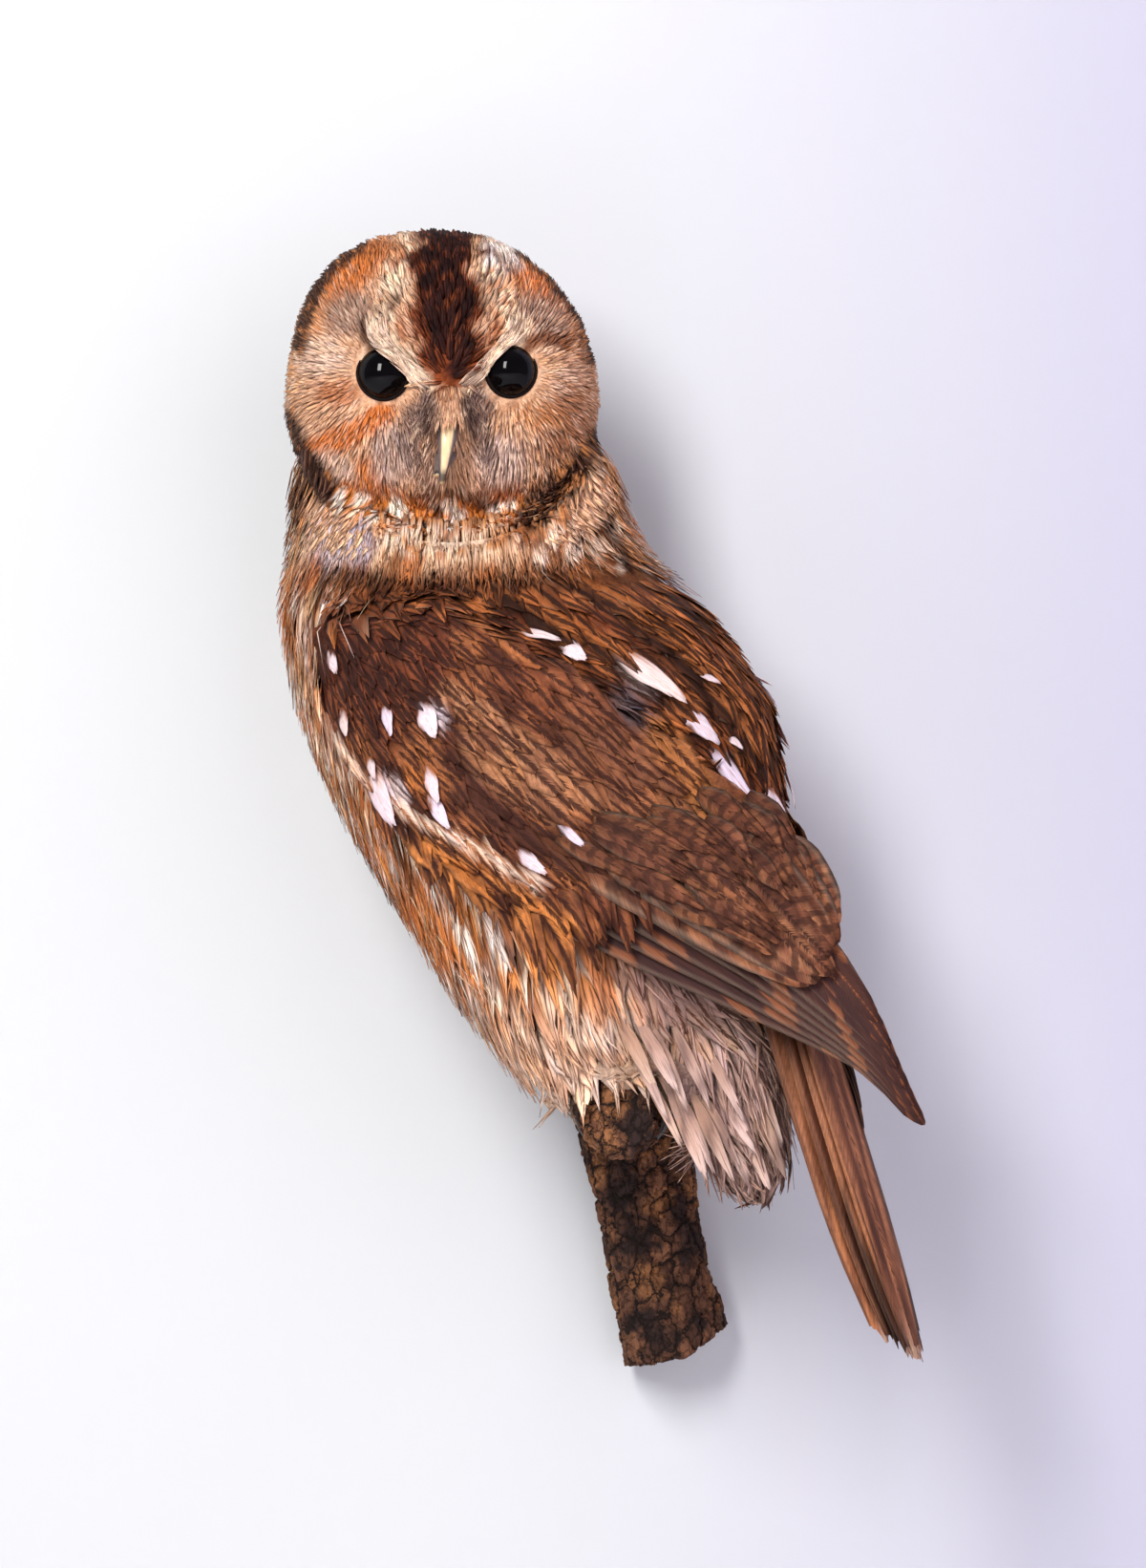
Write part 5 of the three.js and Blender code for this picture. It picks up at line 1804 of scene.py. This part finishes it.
class OWL_OT_eyes(Operator):
    """Set the glass eyes and their lids"""
    bl_idname = "owl.eyes"
    bl_label = "Eyes"

    def execute(self, context):
        glass = glass_eye_material()
        radius = sizes().eye_radius / MM
        for side, name in ((1, "left"), (-1, "right")):
            centre = EYES[side]
            gaze = Vector(unit(np.array((1.0, 0.16 * side, 0.02))))
            basis = np.array(Vector((0, 0, 1)).rotation_difference(gaze).to_matrix())
            bm = bmesh.new()
            bmesh.ops.create_uvsphere(bm, u_segments=64, v_segments=40, radius=1)
            for v in bm.verts:
                p = np.array(v.co[:])
                bulge = 1 + 0.035 * step(p[2], 0.72, 1.0)  # the cornea stands a little proud
                v.co = Vector(from_head(basis @ (p * bulge) * radius + centre) * MM)
            mesh = bpy.data.meshes.new(f"eye_glass_{name}")
            bm.to_mesh(mesh)
            bm.free()
            finish_piece(new_object(f"eye_glass_{name}", mesh, glass), "eye_glass", f"eye_{name}")
            lid(f"eyelid_{name}", centre, basis, radius)
        return {"FINISHED"}


def bill_at(path, t):
    """A place on the middle line of the bill, and the direction out of its ridge there."""
    ahead = unit(spine_at(path, min(t + 0.01, 1)) - spine_at(path, max(t - 0.01, 0)))
    top = unit(np.cross(ahead, SIDEWAYS))
    return spine_at(path, t), top if top[0] > 0 else -top


def bill_half(which, path, rows, count, depth, width, keel, horn):
    """One half; depth and width are each given at its root, at its tip, and how fast they change."""
    ridge, flank = np.array(sizes().bill_ridge), np.array(sizes().bill_side)
    rings, paints = [], []
    for t in np.linspace(0, 1, rows + 1):
        centre, top = bill_at(path, t)
        deep, wide = (mix(root, tip, t ** power) for root, tip, power in (depth, width))
        end = step(t, 0.95, 0.99)
        ring = []
        for a in np.arange(count) * 2 * math.pi / count:
            x, y = math.cos(a), math.sin(a)
            sharp = 1 + 0.10 * keel * max(x, 0) ** 8
            squeeze = 1 - 0.16 * keel * (1 - abs(x)) * step(t, 0.15, 0.6)
            ring.append(from_head(centre + top * deep * x * sharp + SIDEWAYS * wide * y * squeeze))
            colour = mix(flank, ridge, step(x, 0.78, 0.94) * keel)
            gape = step(x, 0.72, 0.5) * step(x, -0.5, 0.1) * keel
            for stain, weight in (((66, 44, 38), 0.85 * gape),
                                  ((40, 30, 32), 0.9 * step(t, 0.80, 0.88) * (1 - end)),
                                  ((190, 160, 110), end)):
                colour = mix(colour, tint(*stain), weight)
            paints.append(colour)
        rings.append(ring)
    name = f"bill_{which}_horn"
    mesh = mesh_from(name, *tube(rings))
    facing_out(mesh)
    set_colours(mesh, "ground", np.array(paints + [paints[0], paints[-1]]))
    finish_piece(new_object(name, mesh, horn), "horn", f"bill_{which}")


class OWL_OT_bill(Operator):
    """Shape the hooked bill in two halves"""
    bl_idname = "owl.bill"
    bl_label = "Bill"

    def execute(self, context):
        horn = horn_material("bill_horn")
        lower = ((30, 0, -21), (37, -1.8, -26), (41.2, -4.4, -31.5))
        bill_half("upper", BILL_RIDGE, 32, 28, (6.4, 0.7, 0.8), (6.2, 0.7, 1.3), 1.0, horn)
        bill_half("lower", lower, 16, 20, (2.6, 0.8, 1.0), (5.4, 1.2, 1.0), 0.0, horn)
        return {"FINISHED"}


def rounded_piece(name, nodes, colour, second, finish, slot):
    piece = new_object(name, mesh_from(name, *merged(nodes)))
    soft = piece.modifiers.new("Rounded", "SUBSURF")
    soft.levels = soft.render_levels = 2
    mesh = baked(piece)
    mesh.shade_smooth()
    blend = flecks(read(mesh.vertices, "co", 3) / MM, 2.2, 21, -0.2, 0.6)[:, None]
    set_colours(mesh, "ground", mix(colour, second, blend))
    mesh.materials.append(finish)
    finish_piece(piece, slot, *nodes)


class OWL_OT_feet(Operator):
    """Round the toes and claws"""
    bl_idname = "owl.feet"
    bl_label = "Feet"

    def execute(self, context):
        horn = horn_material("claw_horn")
        for side in ("left", "right"):
            rounded_piece(f"toes_{side}", (f"foot_{side}",), tint(196, 168, 140), tint(150, 118, 96),
                         STATE["skin_finish"], "plumage_leg")
            rounded_piece(f"talons_{side}", [f"claw_{side}_{k}" for k in (1, 2, 3, 4)],
                         tint(34, 30, 30), tint(70, 62, 56), horn, "claw")
        return {"FINISHED"}


class OWL_OT_branch(Operator):
    """Crack the bark of the branch into plates"""
    bl_idname = "owl.branch"
    bl_label = "Branch"

    def execute(self, context):
        piece = new_object("branch_bark", mesh_from("branch_bark", *merged(("branch",))))
        remeshed(piece, 1.05 * MM)
        bark = bark_material()
        cracked = piece.modifiers.new("Bark", "NODES")
        cracked.node_group = bark_tree(bark)
        inputs = {s.name: s.identifier for s in cracked.node_group.interface.items_tree
                  if s.item_type == "SOCKET" and s.in_out == "INPUT"}
        cracked[inputs["Plates per metre"]] = 1 / sizes().bark_plate
        cracked[inputs["Crack depth"]] = sizes().bark_crack
        baked(piece)
        piece.data.shade_smooth()
        if not piece.data.materials:
            piece.data.materials.append(bark)
        finish_piece(piece, "bark", "branch")
        return {"FINISHED"}


WALL_BEHIND = 0.5
FLOOR_AT = -320


def lamp(name, place, size, power, colour, mirrored):
    lamp = bpy.data.lights.new(name, "AREA")
    lamp.energy = power
    lamp.shape = "RECTANGLE"
    lamp.size, lamp.size_y = size
    lamp.color = colour
    o = bpy.data.objects.new(name, lamp)
    bpy.context.scene.collection.objects.link(o)
    o.visible_glossy = mirrored
    o.location = place
    aim = Vector((-0.03, -0.08, 0.15)) - Vector(place)
    o.rotation_euler = aim.to_track_quat("-Z", "Y").to_euler()


class OWL_OT_stage(Operator):
    """Set the pale wall and floor, the soft lights and the camera"""
    bl_idname = "owl.stage"
    bl_label = "Stage"

    def execute(self, context):
        scene = bpy.context.scene
        scene.view_settings.view_transform = "Standard"
        t = Finish("pale_wall")
        # Painted shade: the wall is painted darker and more lavender towards the right, where less light
        # falls.
        across = t.ramp(t.node("SeparateXYZ", {0: t.place()})[0], -0.1, 0.32)
        t.done(t.blended(across, (0.545, 0.565, 0.572, 1), (0.388, 0.378, 0.492, 1)), 0.9, 0.5)
        # seen from behind, or by a ray that looks for a lamp, the wall isn't there
        away = t.maths("MAXIMUM", t.node("NewGeometry")["Backfacing"], t.node("LightPath")["Is Shadow Ray"])
        both = t.node("MixShader", {0: away, 1: t.shader.outputs[0], 2: t.node("BsdfTransparent")[0]})
        t.tree.links.new(both[0], t.tree.nodes["Material Output"].inputs["Surface"])
        floor_paint = Finish("pale_floor").done((0.82, 0.815, 0.84, 1), 0.85, 0.5)
        y, z = WALL_BEHIND, FLOOR_AT
        for name, corners, paint_on in (
                ("wall", ((-1500, y, z), (1500, y, z), (1500, y, 1500), (-1500, y, 1500)), t.made),
                ("floor", ((-2500, -3000, z), (2500, -3000, z), (2500, 2500, z), (-2500, 2500, z)),
                 floor_paint)):
            new_object(name, mesh_from(name, corners, [(0, 1, 2, 3)]), paint_on, False)
        lamp("key", (-0.62, -1.72, 1.0), (0.42, 0.95), 45.0, (1.0, 0.98, 0.96), True)
        lamp("fill", (1.3, -2.1, 0.5), (2.2, 2.2), 31.0, (0.99, 0.90, 1.0), False)
        lamp("back", (0.6, 1.6, 0.9), (1.6, 1.6), 14.0, (0.97, 0.98, 1.0), False)
        world = bpy.data.worlds.new("studio")
        world.use_nodes = True
        world.node_tree.nodes["Background"].inputs[0].default_value = (0.95, 0.88, 1.0, 1)
        world.node_tree.nodes["Background"].inputs[1].default_value = 0.28
        scene.world = world
        camera = bpy.data.objects.new("camera", bpy.data.cameras.new("camera"))
        scene.collection.objects.link(camera)
        camera.location = Vector(CAMERA_AT) * MM
        camera.rotation_euler = (math.pi / 2, 0, 0)
        camera.data.sensor_width = SENSOR
        camera.data.sensor_height = SENSOR
        camera.data.lens = LENS
        camera.data.clip_start = 0.05
        scene.camera = camera
        return {"FINISHED"}


class OWL_PT_panel(Panel):
    bl_label = "Tawny owl"
    bl_idname = "OWL_PT_panel"
    bl_space_type = "VIEW_3D"
    bl_region_type = "UI"
    bl_category = "Owl"

    def draw(self, context):
        for name in OwlSizes.__annotations__:
            self.layout.prop(context.scene.owl_sizes, name)
        for maker in MAKERS:
            self.layout.operator(maker.bl_idname)


MAKERS = (OWL_OT_stage, OWL_OT_skin, OWL_OT_head_coat, OWL_OT_body_coat, OWL_OT_wing_coat,
          OWL_OT_flight_feathers, OWL_OT_tail_feathers, OWL_OT_eyes, OWL_OT_bill, OWL_OT_feet,
          OWL_OT_branch)
CLASSES = (OwlSizes,) + MAKERS + (OWL_PT_panel,)


def register():
    for c in CLASSES:
        bpy.utils.register_class(c)
    bpy.types.Scene.owl_sizes = PointerProperty(type=OwlSizes)


def unregister():
    del bpy.types.Scene.owl_sizes
    for c in reversed(CLASSES):
        bpy.utils.unregister_class(c)


def main():
    register()
    STATE["skin_finish"] = skin_material()
    for name, settings in (
            ("plumage", {}),
            ("wing_plumage", dict(barbs=(44.0, 3.0), slope=0.35, bar_rate=34.0, marbled=0.6)),
            ("loose_plumage", dict(barbs=(6.0, 11.0), slope=0.5, bump=0.35, depth=(0.72, 1.28))),
            ("strand_plumage", dict(barbs=(4.0, 7.0), slope=0.3)),
            ("fine_plumage", dict(barbs=(3.0, 5.0), slope=0.2, bump=0.3)),
            ("notched_plumage", dict(barbs=(150.0, 3.0), slope=0.12, bar_rate=27.0, roughness=0.55,
                                     bump=0.3, notched=True)),
            ("stiff_plumage", dict(barbs=(120.0, 3.0), slope=0.12, bar_rate=50.0, roughness=0.6,
                                   bump=0.35, marbled=0.5))):
        STATE[name] = plumage_material(name, **settings)
    for maker in MAKERS:
        area, name = maker.bl_idname.split(".")
        getattr(getattr(bpy.ops, area), name)()


if __name__ == "__main__":
    main()
